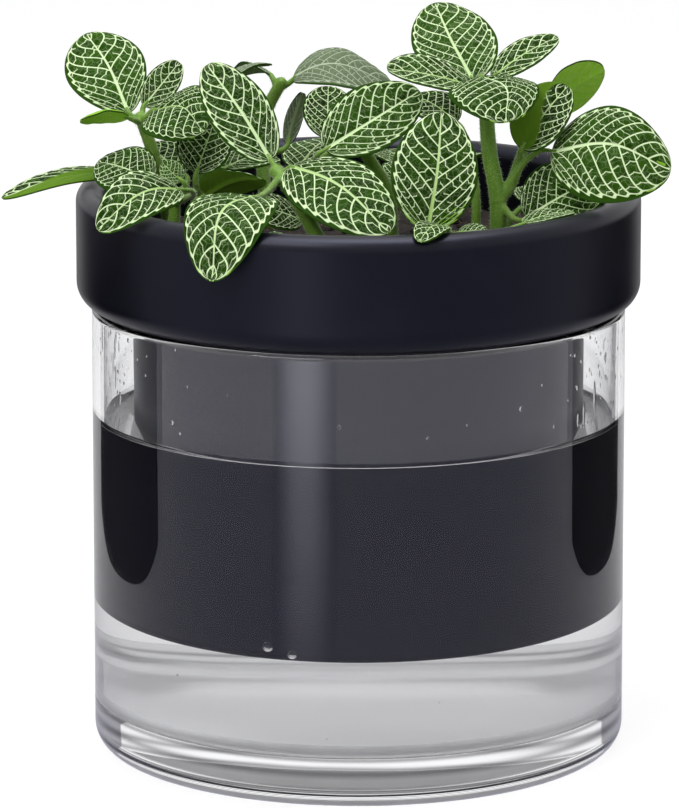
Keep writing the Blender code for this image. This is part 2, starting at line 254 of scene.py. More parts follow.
class Surface(Graph):
    """A material while its nodes are being wired to its Principled shader."""

    def __init__(self, name: str) -> None:
        """Start a material.

        Args:
            name: The material's name.
        """
        self.material = bpy.data.materials.new(name)
        self.material.use_nodes = True
        super().__init__(self.material.node_tree)
        self.shader = self.tree.nodes["Principled BSDF"]
        self.output = self.tree.nodes["Material Output"]

    def set(self, **values: Input) -> None:
        """Set or link the shader's sockets, by their names with _ for a space."""
        for socket, value in values.items():
            self.feed(self.shader.inputs[socket.replace("_", " ")], value)

    def let_light_through(self, share: float) -> None:
        """Let a clear material pass light on to what is behind it.

        Args:
            share: The share of the light that passes.
        """
        clear = self.node("ShaderNodeBsdfTransparent", None, {0: (share, share, share)}).outputs[0]
        inputs = {0: self.ray("Is Shadow Ray"), 1: self.shader.outputs[0], 2: clear}
        mixed = self.node("ShaderNodeMixShader", None, inputs).outputs[0]
        self.feed(self.output.inputs["Surface"], mixed)

    def glow(self, colour: bpy.types.NodeSocket) -> bpy.types.Node:
        """A shader that gives off a colour as it is."""
        return self.node("ShaderNodeEmission", None, {"Color": colour, "Strength": 1.0})

    def show(self, shader: bpy.types.Node) -> None:
        """Show another shader than the Principled one."""
        self.tree.nodes.remove(self.shader)
        self.feed(self.output.inputs["Surface"], shader.outputs[0])


def seen(red: float, green: float, blue: float) -> Colour:
    """The linear colour that shows as these three parts of 255."""
    parts = [part / 255 for part in (red, green, blue)]
    linear = [part / 12.92 if part <= 0.04045 else ((part + 0.055) / 1.055) ** 2.4 for part in parts]
    return (linear[0], linear[1], linear[2])


class Finish(ABC):
    """What a surface is made of and looks like.

    Its scales count clouds or cells in a metre. Its spans are the values of a pattern between which a smooth
    step goes from none to full.
    """

    @abstractmethod
    def wire(self, surface: Surface) -> None:
        """Wire the finish into a material."""

    def material(self, name: str) -> bpy.types.Material:
        """Make the finish.

        Args:
            name: The material's name.

        Returns:
            The material.
        """
        surface = Surface(name)
        self.wire(surface)
        return surface.material


class ShadeRing(NamedTuple):
    """A painted shade line round a thick glass base, a darker glass colour standing in for shade refracted by
    the base: its height, half its width and its strength.
    """

    height: float
    half: float
    strength: float


@dataclass(frozen=True)
class ClearGlass(Finish):
    """Clear glass, faintly wavy and wiped. Where water wets it, it hardly reflects. Its rings are painted
    shade.
    """

    tint: Colour = (0.975, 0.98, 0.985)
    gleam: float = 1.0
    index: float = 1.5
    passes: float = 0.9
    # Painted shade: rings of darker colour at given heights, standing in for shade refracted in a thick base.
    rings: tuple[ShadeRing, ...] = ()
    painted_shade_tint: Colour = (0.04, 0.04, 0.042)
    wave_scale: float = 22.0
    wave_depth: float = 0.25 * MM
    smudge_scale: float = 90.0
    smudge_stretch: Place = (1.0, 1.0, 0.3)
    smudge_span: Span = (0.6, 0.8)
    smudge_blur: float = 0.012

    def wire(self, surface: Surface) -> None:
        """Wire the finish.

        Args:
            surface: The material.
        """
        place = surface.place()
        wave = surface.noise(place, self.wave_scale, detail=1.0)
        wiped = surface.stretched(place, self.smudge_stretch)
        smudge = surface.noise(wiped, self.smudge_scale, detail=3.0).rise(*self.smudge_span)
        colour = self.tint
        # Painted shade: darken the glass's colour at each ring's height.
        if self.rings:
            up = surface.split(place)[2]
            dark = 0.0
            for ring in self.rings:
                dark = (up - ring.height).size().rise(ring.half, 0.0) * ring.strength + dark
            colour = surface.mix(dark, self.tint, self.painted_shade_tint)
        surface.set(
            Base_Color=colour,
            Transmission_Weight=1.0,
            IOR=self.index,
            Specular_Tint=(self.gleam,) * 3,
            Roughness=smudge * self.smudge_blur,
            Normal=surface.bump(wave, self.wave_depth),
        )
        surface.let_light_through(self.passes)


@dataclass(frozen=True)
class ClearWater(Finish):
    """Still water. Where it wets the glass it hardly reflects, and it can be blurred and a little milky."""

    tint: Colour = (0.98, 0.975, 0.98)
    gleam: float = 1.0
    index: float = 1.333
    passes: float = 0.94
    blur: float = 0.0
    milky: float = 0.0
    wave_scale: float = 30.0
    wave_depth: float = 0.1 * MM

    def wire(self, surface: Surface) -> None:
        """Wire the finish.

        Args:
            surface: The material.
        """
        wave = surface.noise(surface.place(), self.wave_scale, detail=1.0)
        surface.set(
            Base_Color=self.tint,
            Transmission_Weight=1.0 - self.milky,
            IOR=self.index,
            Specular_Tint=(self.gleam,) * 3,
            Roughness=self.blur,
            Normal=surface.bump(wave, self.wave_depth),
        )
        surface.let_light_through(self.passes)


@dataclass(frozen=True)
class Air(Finish):
    """Air in water, for bubbles: light bends the other way at it."""

    index: float = 0.75
    passes: float = 0.9
    film_scale: float = 900.0
    film_blur: float = 0.04

    def wire(self, surface: Surface) -> None:
        """Wire the finish.

        Args:
            surface: The material.
        """
        film = surface.noise(surface.place(), self.film_scale)
        surface.set(
            Base_Color=(1.0, 1.0, 1.0),
            Transmission_Weight=1.0,
            IOR=self.index,
            Roughness=film * self.film_blur,
        )
        surface.let_light_through(self.passes)


@dataclass(frozen=True)
class BlackClay(Finish):
    """Black fired clay with a fine satin grain. Under water it is darker and hardly reflects."""

    dark: Colour = (0.0026, 0.0026, 0.0058)
    light: Colour = (0.0044, 0.0044, 0.0086)
    gleam: float = 0.22
    sheen: Colour = (0.8, 0.82, 1.0)
    roughness: float = 0.36
    roughness_varies: float = 0.16
    cloud_scale: float = 38.0
    cloud_span: Span = (0.3, 0.7)
    cloud_relief: float = 3.0
    grain_scale: float = 3200.0
    grain_relief: float = 0.6
    pit_scale: float = 700.0
    pit_span: Span = (0.06, 0.16)
    pit_relief: float = 0.5
    relief_depth: float = 0.012 * MM

    def wire(self, surface: Surface) -> None:
        """Wire the finish.

        Args:
            surface: The material.
        """
        place = surface.place()
        cloud = surface.noise(place, self.cloud_scale, detail=4.0, roughness=0.6)
        grain = surface.noise(place, self.grain_scale)
        pits = surface.cells(place, self.pit_scale).rise(*self.pit_span)
        relief = grain * self.grain_relief + pits * self.pit_relief + cloud * self.cloud_relief
        surface.set(
            Base_Color=surface.mix(cloud.rise(*self.cloud_span), self.dark, self.light),
            Specular_IOR_Level=self.gleam,
            Specular_Tint=self.sheen,
            Roughness=self.roughness + (cloud - 0.5) * self.roughness_varies,
            Normal=surface.bump(relief, self.relief_depth),
        )


@dataclass(frozen=True)
class PottingMix(Finish):
    """Moist dark peat with paler fibres and a few white grains."""

    peat: Colour = seen(26, 19, 14)
    fibre: Colour = seen(92, 68, 46)
    grain: Colour = seen(190, 182, 168)
    gleam: float = 0.3
    dry_roughness: float = 0.95
    damp: float = 0.35
    lump_scale: float = 260.0
    lump_span: Span = (0.35, 0.6)
    fibre_scale: float = 900.0
    fibre_stretch: Place = (1.0, 0.25, 0.6)
    fibre_span: Span = (0.56, 0.66)
    fibre_relief: float = 0.3
    grain_scale: float = 260.0
    grain_span: Span = (0.13, 0.09)
    grain_cover: float = 0.8
    relief_depth: float = 0.9 * MM

    def wire(self, surface: Surface) -> None:
        """Wire the finish.

        Args:
            surface: The material.
        """
        place = surface.place()
        lumps = surface.noise(place, self.lump_scale, detail=5.0, roughness=0.7)
        combed = surface.stretched(place, self.fibre_stretch)
        fibres = surface.noise(combed, self.fibre_scale).rise(*self.fibre_span)
        grains = surface.cells(place, self.grain_scale).rise(*self.grain_span)
        brown = surface.mix(fibres * lumps.rise(*self.lump_span), self.peat, self.fibre)
        surface.set(
            Base_Color=surface.mix(grains * self.grain_cover, brown, self.grain),
            Specular_IOR_Level=self.gleam,
            Roughness=self.dry_roughness - lumps * self.damp,
            Normal=surface.bump(lumps + fibres * self.fibre_relief, self.relief_depth),
        )


@dataclass(frozen=True)
class StemSkin(Finish):
    """Juicy green stem skin with a soft bloom, faintly ridged, and a blush at its foot."""

    green: Colour = seen(94, 136, 40)
    pale: Colour = seen(124, 160, 66)
    blush: Colour = seen(116, 120, 62)
    bloom: Colour = seen(214, 226, 190)
    foot: float = 126.3 * MM
    blushing: float = 12 * MM
    blush_span: Span = (0.35, 0.7)
    gleam: float = 0.2
    fuzz: float = 0.7
    fuzz_roughness: float = 0.4
    roughness: float = 0.46
    roughness_varies: float = 0.2
    cloud_scale: float = 110.0
    cloud_span: Span = (0.3, 0.7)
    cloud_cover: float = 0.7
    cloud_relief: float = 0.5
    streak_scale: float = 700.0
    streak_stretch: Place = (1.0, 1.0, 0.12)
    streak_span: Span = (0.4, 0.6)
    streak_cover: float = 0.3
    relief_depth: float = 0.04 * MM

    def wire(self, surface: Surface) -> None:
        """Wire the finish.

        Args:
            surface: The material.
        """
        place = surface.place()
        streaks = surface.noise(surface.stretched(place, self.streak_stretch), self.streak_scale)
        cloud = surface.noise(place, self.cloud_scale, detail=3.0)
        height = surface.split(place)[2]
        low = height.rise(self.foot + self.blushing, self.foot)
        clouded = cloud.rise(*self.cloud_span) * self.cloud_cover
        paler = clouded + streaks.rise(*self.streak_span) * self.streak_cover
        green = surface.mix(paler, self.green, self.pale)
        surface.set(
            Base_Color=surface.mix(low * cloud.rise(*self.blush_span), green, self.blush),
            Specular_IOR_Level=self.gleam,
            Sheen_Weight=self.fuzz,
            Sheen_Roughness=self.fuzz_roughness,
            Sheen_Tint=self.bloom,
            Roughness=self.roughness + (cloud - 0.5) * self.roughness_varies,
            Normal=surface.bump(streaks + cloud * self.cloud_relief, self.relief_depth),
        )


@dataclass(frozen=True)
class LeafSkin(Finish):
    """A nerve plant's leaf: dark quilted cells in a net of white veins, and a plainer green underside
    brightened with painted light.
    """

    cell: Colour = seen(29, 57, 6)
    cell_fresh: Colour = seen(54, 92, 14)
    cell_deep: Colour = seen(18, 38, 5)
    cell_pale: Colour = seen(102, 117, 88)
    vein: Colour = seen(220, 242, 190)
    vein_pale: Colour = seen(178, 191, 166)
    rib: Colour = seen(160, 196, 104)
    # The underside greens are partly the leaf's own paler green and partly painted light, brightened to stand
    # in for light shining through the leaf.
    under: Colour = seen(138, 192, 56)
    under_deep: Colour = seen(92, 128, 34)
    under_pale: Colour = seen(128, 146, 106)
    under_vein: Colour = seen(164, 194, 100)
    margin: Colour = seen(46, 78, 20)
    net_reach: float = 0.875
    net_scallop: float = 0.05
    net_softness: float = 0.015
    vein_width: float = 0.076
    vein_flare: float = 0.05
    loop_span: Span = (0.0105, 0.005)
    rung_span: Span = (0.085, 0.035)
    rung_cover: float = 0.85
    rungs_missing: float = 0.1
    rungs_cut: Span = (0.34, 0.32)
    rung_cut_place: float = 0.6
    rung_lean: float = 1.1
    rung_stray: float = 0.34
    rung_bow: float = 0.8
    mesh_scale: float = 620.0
    mesh_span: Span = (0.075, 0.02)
    mesh_cover: float = 0.09
    rib_width: float = 0.0065
    rib_flare: float = 0.015
    rib_end: Span = (1.0, 0.97)
    cloud_scale: float = 300.0
    gleam: float = 0.02
    roughness: float = 0.5
    roughness_varies: float = 0.14
    vein_roughness: float = 0.06
    cloud_relief: float = 0.3
    relief_depth: float = 0.13 * MM

    def net(self, surface: Surface) -> tuple[Value, Value]:
        """Draw the veins from where the mesh says that each place is in the leaf.

        Args:
            surface: The material.

        Returns:
            How much of the net, and of the midrib, covers a place.
        """
        share, side, slim = surface.split(surface.attribute("blade"))
        left, right, rung = surface.split(surface.attribute("veins"))
        seed = surface.split(surface.attribute("growth"))[0]
        edge = side.size()
        hand = side.over(0.0)
        rank = left + (right - left) * hand
        band = rank.whole()
        away = rank.to_nearest()
        between = rank - band
        reach = away.rise(0.0, 0.5) * self.net_scallop + self.net_reach
        inside = edge.rise(reach + self.net_softness, reach - self.net_softness)

        thick = edge * edge * self.vein_flare + self.vein_width
        lateral = away.rise(thick, thick * 0.5) * inside
        loop = ((edge - reach).size() * slim).rise(*self.loop_span)

        step = rung + surface.chance(band, hand, seed)
        nearest = (step + 0.5).whole()
        key = band + hand * 40.0
        lean = (surface.chance(nearest, key, seed) - 0.5) * (between - 0.5) * self.rung_lean
        stray = (surface.chance(key, nearest, seed) - 0.5) * self.rung_stray
        bow = away * away * self.rung_bow
        drawn = surface.chance(seed, nearest, key)
        cut_short = drawn.rise(*self.rungs_cut) * between.over(self.rung_cut_place)
        line = (step - nearest + lean + stray + bow).size()
        shown = drawn.over(self.rungs_missing) * (1.0 - cut_short) * inside
        rungs = line.rise(*self.rung_span) * shown
        walls = surface.cells(surface.place(), self.mesh_scale, "DISTANCE_TO_EDGE")
        mesh = walls.rise(*self.mesh_span) * inside
        net = lateral.most(loop).most(rungs * self.rung_cover).most(mesh * self.mesh_cover)
        half = (1.0 - share) * self.rib_flare + self.rib_width
        rib = (edge * slim).rise(half, half * 0.6) * share.rise(*self.rib_end)
        return net, rib

    def wire(self, surface: Surface) -> None:
        """Wire the finish.

        Args:
            surface: The material.
        """
        share, side, _ = surface.split(surface.attribute("blade"))
        seed, upper, tone = surface.split(surface.attribute("growth"))
        net, rib = self.net(surface)
        veins = net.most(rib)
        cloud = surface.noise(surface.place(), self.cloud_scale, detail=3.0)
        grey = tone.rise(1.4, 1.6)
        yellow = rib * (1.0 - share * 0.7) * surface.chance(seed, 3.0).rise(0.1, 0.9)
        top = surface.layered(
            self.cell,
            (tone.rise(0.5, 1.0), self.cell_fresh),
            (tone.rise(0.5, 0.0), self.cell_deep),
            (cloud.rise(0.42, 0.72) * 0.5, self.cell_fresh),
            (cloud.rise(0.5, 0.3) * 0.45, self.cell_deep),
            (grey, self.cell_pale),
            (veins, surface.layered(self.vein, (grey, self.vein_pale), (yellow, self.rib))),
            (side.size().rise(0.95, 0.99), self.margin),
        )
        # The underside, with its painted light shining through.
        below = surface.layered(
            self.under,
            (veins.most(cloud.rise(0.5, 0.8)) * 0.5, self.under_vein),
            (tone.rise(0.4, 0.15), self.under_deep),
            (grey, self.under_pale),
            (side.size().rise(0.985, 1.0), self.margin),
        )
        surface.set(
            Base_Color=surface.mix(upper, below, top),
            Specular_IOR_Level=self.gleam,
            Roughness=self.roughness + (cloud - 0.5) * self.roughness_varies + veins * self.vein_roughness,
            Normal=surface.bump(0.0 - veins * upper + cloud * self.cloud_relief, self.relief_depth),
        )


@dataclass(frozen=True)
class HairSkin(Finish):
    """Fine pale plant hair."""

    light: Colour = seen(205, 220, 180)
    dulling: Colour = (0.7, 0.75, 0.6)
    cloud_scale: float = 300.0
    roughness: float = 0.4

    def wire(self, surface: Surface) -> None:
        """Wire the finish.

        Args:
            surface: The material.
        """
        cloud = surface.noise(surface.place(), self.cloud_scale)
        dull = tuple(part * share for part, share in zip(self.light, self.dulling))
        surface.set(Base_Color=surface.mix(cloud, self.light, dull), Roughness=self.roughness)


@dataclass(frozen=True)
class StudioPaper(Finish):
    """A white floor that shows white and still takes the shadow of what stands on it.

    Glass shows it with a painted shadow, darker near the axis than far from it.
    Gloss shows it with painted shade, darker and bluish before the planter than behind it.
    """

    white: Colour = (0.75, 0.75, 0.75)
    shaded: Colour = (0.3, 0.3, 0.3)
    shown: Colour = (0.775, 0.775, 0.775)
    # Painted shadow: glass shows the floor darker near the axis, as if in the planter's contact shadow.
    glass_painted_shadow: Colour = (0.5, 0.5, 0.5)
    glass_far: Colour = (0.8, 0.8, 0.8)
    near: float = 0.1
    far: float = 0.32
    # Painted shade: gloss shows the floor darker and bluish before the planter than behind it.
    gloss_painted_shade: Colour = (0.16, 0.16, 0.32)
    gloss_behind: Colour = (0.36, 0.36, 0.38)
    behind: float = 0.2

    def wire(self, surface: Surface) -> None:
        """Wire the finish.

        Args:
            surface: The material.
        """
        lit = surface.node("ShaderNodeBsdfDiffuse", None, {0: self.white})
        shade = surface.node("ShaderNodeBsdfDiffuse", None, {0: self.shaded})
        side, depth, _ = surface.split(surface.place())
        away = (side * side + depth * depth) ** 0.5
        # Painted shadow: the floor seen in glass darkens towards the axis.
        through = surface.mix(away.rise(self.near, self.far), self.glass_painted_shadow, self.glass_far)
        # Painted shade: the floor seen in gloss darkens and turns bluish before the planter.
        gloss = surface.mix(depth.rise(-self.behind, self.behind), self.gloss_painted_shade, self.gloss_behind)
        in_camera, in_glass = surface.ray("Is Camera Ray"), surface.ray("Is Transmission Ray")
        seen_directly = in_camera.most(surface.ray("Is Glossy Ray")).most(in_glass)
        glow = surface.glow(surface.layered(gloss, (in_glass, through), (in_camera, self.shown)))
        shown = surface.node("ShaderNodeAddShader", None, {0: shade.outputs[0], 1: glow.outputs[0]})
        inputs = {0: seen_directly, 1: lit.outputs[0], 2: shown.outputs[0]}
        surface.show(surface.node("ShaderNodeMixShader", None, inputs))


@dataclass(frozen=True)
class StudioCard(Finish):
    """A card that only shows in gloss and glass: black, or glowing with soft sides.

    Its middle glows from the near colour to the far one, and glass can show one colour instead.
    """

    near: Colour = (0.0, 0.0, 0.0)
    far: Colour = (0.0, 0.0, 0.0)
    sides: Colour = (0.0, 0.0, 0.0)
    in_glass: Optional[Colour] = None
    even: float = 0.1

    def wire(self, surface: Surface) -> None:
        """Wire the finish.

        Args:
            surface: The material.
        """
        across, away = surface.split(surface.attribute("across"))[:2]
        middle = surface.mix(away, self.near, self.far)
        colour = surface.mix(across.size().rise(1.0, self.even), self.sides, middle)
        if self.in_glass:
            colour = surface.mix(surface.ray("Is Transmission Ray"), colour, self.in_glass)
        surface.show(surface.glow(colour))


class Corner(NamedTuple):
    """A corner of a turned piece's outline: its distance from the axis, its height and its rounding."""

    across: float
    up: float
    rounding: float = 0.0
    steps: int = 8


def eased(outline: Sequence[Corner]) -> list[Corner]:
    """Put a plain corner beside each rounding, so that the flat next to it shades flat.

    Args:
        outline: The corners in order.

    Returns:
        The corners with the plain ones added.
    """
    out = [outline[0]]
    for before, after in zip(outline, outline[1:]):
        line = Vector(after[:2]) - Vector(before[:2])
        spare = line.length - before.rounding - after.rounding
        if spare > 3 * EASE:
            for corner, sign in ((before, 1), (after, -1)):
                if corner.rounding:
                    place = Vector(corner[:2]) + line.normalized() * sign * (corner.rounding + EASE)
                    out.append(Corner(place.x, place.y))
        out.append(after)
    return out


def turned(outline: Sequence[Corner], steps: int = 256) -> bmesh.types.BMesh:
    """Spin an outline that starts and ends on the axis into a closed shape, and round its corners.

    Args:
        outline: The corners in order.
        steps: How many facets go round it.

    Returns:
        The shape.
    """
    corners = eased(outline)
    bm = bmesh.new()
    verts = [bm.verts.new((corner.across, 0.0, corner.up)) for corner in corners]
    edges = [bm.edges.new(pair) for pair in zip(verts, verts[1:])]
    bmesh.ops.spin(
        bm,
        geom=verts + edges,
        axis=(0, 0, 1),
        cent=(0, 0, 0),
        steps=steps,
        angle=math.tau,
        use_merge=True,
    )
    bmesh.ops.remove_doubles(bm, verts=bm.verts, dist=WELD)
    bmesh.ops.recalc_face_normals(bm, faces=bm.faces)
    for corner in corners:
        if corner.rounding:
            ring = [edge for edge in bm.edges if all(on_ring(vert.co, corner) for vert in edge.verts)]
            bmesh.ops.bevel(
                bm,
                geom=ring,
                offset=corner.rounding,
                offset_type="OFFSET",
                segments=corner.steps,
                profile=0.5,
                affect="EDGES",
                material=-1,
            )
    return bm


def on_ring(place: Vector, corner: Corner) -> bool:
    """Whether a place is on the ring that a corner of the outline makes."""
    return abs(place.z - corner.up) < WELD and abs(math.hypot(place.x, place.y) - corner.across) < WELD


def around(turn: float, reach: float, height: float) -> Vector:
    """A place at an angle from +X, a distance from the axis and a height."""
    return Vector((reach * math.cos(turn), reach * math.sin(turn), height))


def link(name: str, data: bpy.types.ID) -> bpy.types.Object:
    """Put a mesh, curve, lamp or camera in the scene as an object."""
    item = bpy.data.objects.new(name, data)
    bpy.context.scene.collection.objects.link(item)
    return item


def meshed(name: str, bm: bmesh.types.BMesh, *finishes: bpy.types.Material) -> bpy.types.Mesh:
    """The mesh of a shape, which is used up, with the finishes by the faces' index.

    Args:
        name: The mesh's name.
        bm: The shape.
        *finishes: The materials.

    Returns:
        The mesh.
    """
    mesh = bpy.data.meshes.new(name)
    bm.to_mesh(mesh)
    bm.free()
    for finish in finishes:
        mesh.materials.append(finish)
    return mesh


def melted(guide: bpy.types.Object) -> bpy.types.Mesh:
    """The mesh that a curve, or a mesh with modifiers, comes to.

    Args:
        guide: The object, which is used up.

    Returns:
        The mesh.
    """
    made = bpy.data.meshes.new_from_object(guide.evaluated_get(bpy.context.evaluated_depsgraph_get()))
    bpy.data.objects.remove(guide, do_unlink=True)
    return made


def dressed(
    bm: bmesh.types.BMesh, finishes: dict[str, Finish], zone: Callable[[float, float], str]
) -> list[bpy.types.Material]:
    """Give each face of a turned shape its finish, by where its middle is.

    Args:
        bm: The shape.
        finishes: The finishes, by name.
        zone: The finish's name at a distance from the axis and a height.

    Returns:
        The materials, in the order of the faces' index.
    """
    names = list(finishes)
    for face in bm.faces:
        middle = face.calc_center_median()
        face.material_index = names.index(zone(math.hypot(middle.x, middle.y), middle.z))
    return [finish.material(name) for name, finish in finishes.items()]


def put(
    name: str,
    bm: bmesh.types.BMesh,
    finishes: Sequence[bpy.types.Material],
    body: str,
    nodes: Sequence[str] = (),
    sharp: float = 50.0,
) -> bpy.types.Object:
    """Put a finished shape in the scene as a piece.

    Args:
        name: The piece's name.
        bm: The shape, which is used up.
        finishes: The materials, by the faces' index.
        body: The body that it rides on.
        nodes: The frame's nodes that it stands for.
        sharp: The angle in degrees from which an edge shows as an edge.

    Returns:
        The piece.
    """
    mesh = meshed(name, bm, *finishes)
    mesh.shade_smooth()
    mesh.set_sharp_from_angle(angle=math.radians(sharp))
    piece = link(name, mesh)
    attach(piece, body)
    if nodes:
        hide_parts(*nodes)
    LOG.info("%s: %d faces", name, len(mesh.polygons))
    return piece


def settled(bm: bmesh.types.BMesh, voxel: float, smoothing: int) -> bmesh.types.BMesh:
    """Melt overlapping shapes into one skin.

    Args:
        bm: The overlapping closed shapes, which are used up.
        voxel: How fine the skin is.
        smoothing: How many times it is smoothed.

    Returns:
        The skin.
    """
    mesh = meshed("skin", bm)
    guide = link("skin", mesh)
    remesh = guide.modifiers.new("skin", "REMESH")
    remesh.mode = "VOXEL"
    remesh.voxel_size = voxel
    smooth = guide.modifiers.new("smooth", "SMOOTH")
    smooth.factor = 0.5
    smooth.iterations = smoothing
    made = melted(guide)
    bpy.data.meshes.remove(mesh)
    skin = bmesh.new()
    skin.from_mesh(made)
    bpy.data.meshes.remove(made)
    bmesh.ops.recalc_face_normals(skin, faces=skin.faces)
    return skin


@dataclass
class GlassJar:
    """The clear jar: one thick-bottomed glass shell with a round rim."""

    radius: float = 66.3 * MM
    bore: float = 63.4 * MM
    height: float = 113.0 * MM
    floor: float = 12.3 * MM
    heel: float = 6.5 * MM
    corner: float = 4.0 * MM
    rim: float = 1.4 * MM
    water_line: float = 84.4 * MM
    base: float = 14.5 * MM
    # Painted shade rings in the base glass: height, half width and strength.
    rings: tuple[ShadeRing, ...] = (
        ShadeRing(12.9 * MM, 1.1 * MM, 0.85),
        ShadeRing(9.5 * MM, 1.8 * MM, 0.82),
        ShadeRing(5.1 * MM, 1.6 * MM, 0.98),
    )

    def build(self) -> None:
        """Make the jar, with its wetted inside marked off."""
        outline = [
            Corner(0, 0),
            Corner(self.radius, 0, self.heel, 14),
            Corner(self.radius, self.base),
            Corner(self.radius, self.height, self.rim),
            Corner(self.bore, self.height, self.rim),
            Corner(self.bore, self.water_line + MENISCUS),
            Corner(self.bore, self.floor, self.corner, 12),
            Corner(0, self.floor),
        ]
        finishes = {
            "clear_glass": ClearGlass(),
            "wetted_glass": ClearGlass(gleam=0.1),
            "underside_glass": ClearGlass(gleam=0.8),
            # The base glass carries the painted shade rings.
            "base_glass": ClearGlass(gleam=0.6, rings=self.rings),
        }
        bm = turned(outline)
        materials = dressed(bm, finishes, self.zone)
        put("jar_glass", bm, materials, "jar", ["glass_jar"])

    def zone(self, out: float, up: float) -> str:
        """Which glass is at a distance from the axis and a height.

        Args:
            out: The distance from the axis.
            up: The height.

        Returns:
            The finish's name.
        """
        if out < self.bore + WELD and self.floor - WELD < up < self.water_line + MENISCUS:
            return "wetted_glass"
        if up < WELD:
            return "underside_glass"
        return "base_glass" if up < self.base else "clear_glass"


@dataclass
class WaterFill:
    """The water, drawn as one body up to its level, in which the pot stands.

    Its climb up the glass is a curve through places: millimetres in from the glass and a share of the height.
    """

    bore: float = GlassJar.bore
    floor: float = GlassJar.floor
    corner: float = GlassJar.corner
    level: float = GlassJar.water_line
    lap: float = 0.1 * MM
    climb: tuple[tuple[float, float], ...] = ((0.25, 0.55), (0.8, 0.2), (2.0, 0.0))
    lowered: float = 0.467

    def build(self) -> None:
        """Make the water."""
        side = self.bore + self.lap
        outline = [
            Corner(0, self.floor - self.lap),
            Corner(side, self.floor - self.lap, self.corner, 12),
            Corner(side, self.level + MENISCUS),
            *(Corner(self.bore - away * MM, self.level + share * MENISCUS) for away, share in self.climb),
            Corner(0, self.level),
        ]
        finishes = {
            "water": ClearWater(),
            "water_side": ClearWater(gleam=0.1),
            "water_floor": ClearWater((0.94, 0.935, 0.94), gleam=0.1, blur=0.28, milky=0.22),
        }
        bm = turned(outline)
        materials = dressed(bm, finishes, self.zone)
        piece = put("water_body", bm, materials, "jar", ["water"])
        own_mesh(piece)

    def zone(self, out: float, up: float) -> str:
        """Which side of the water is at a distance from the axis and a height.

        Args:
            out: The distance from the axis.
            up: The height.

        Returns:
            The finish's name.
        """
        if up < self.floor + self.corner:
            return "water_floor"
        return "water_side" if out > self.bore else "water"


@dataclass
class ClayPot:
    """The black clay pot: a round-lipped collar over a straight body, with a ledge between them inside."""

    collar: float = 70.0 * MM
    collar_bottom: float = 113.3 * MM
    lip_top: float = 142.5 * MM
    collar_wall: float = 7.2 * MM
    collar_heel: float = 5.6 * MM
    body: float = 56.0 * MM
    body_bottom: float = 35.2 * MM
    body_edge: float = 2.0 * MM
    neck: float = 0.8 * MM
    inner_edge: float = 1.0 * MM
    bore: float = 49.5 * MM
    ledge: float = 120.3 * MM
    floor: float = 42.2 * MM
    water_line: float = GlassJar.water_line

    def build(self) -> None:
        """Make the pot."""
        lip = self.collar_wall / 2 - 2 * WELD
        inside = self.collar - self.collar_wall
        outline = [
            Corner(0, self.body_bottom),
            Corner(self.body, self.body_bottom, self.body_edge),
            Corner(self.body, self.water_line),
            Corner(self.body, self.collar_bottom, self.neck, 4),
            Corner(self.collar, self.collar_bottom, self.collar_heel, 12),
            Corner(self.collar, self.lip_top, lip, 10),
            Corner(inside, self.lip_top, lip, 10),
            Corner(inside, self.ledge, self.inner_edge, 4),
            Corner(self.bore, self.ledge, self.inner_edge, 4),
            Corner(self.bore, self.floor, self.inner_edge, 4),
            Corner(0, self.floor),
        ]
        wet = BlackClay((0.0034, 0.0034, 0.0064), (0.0047, 0.0047, 0.0088), gleam=0.03, roughness=0.3)
        finishes = {"black_clay": BlackClay(), "wet_clay": wet}
        bm = turned(outline)
        materials = dressed(bm, finishes, self.zone)
        put("pot_clay", bm, materials, "pot", ["clay_pot"])

    def zone(self, out: float, up: float) -> str:
        """Whether the clay at a distance from the axis and a height stands in the water."""
        outside = out > self.bore + WELD or up < self.floor - WELD
        return "wet_clay" if outside and up < self.water_line else "black_clay"


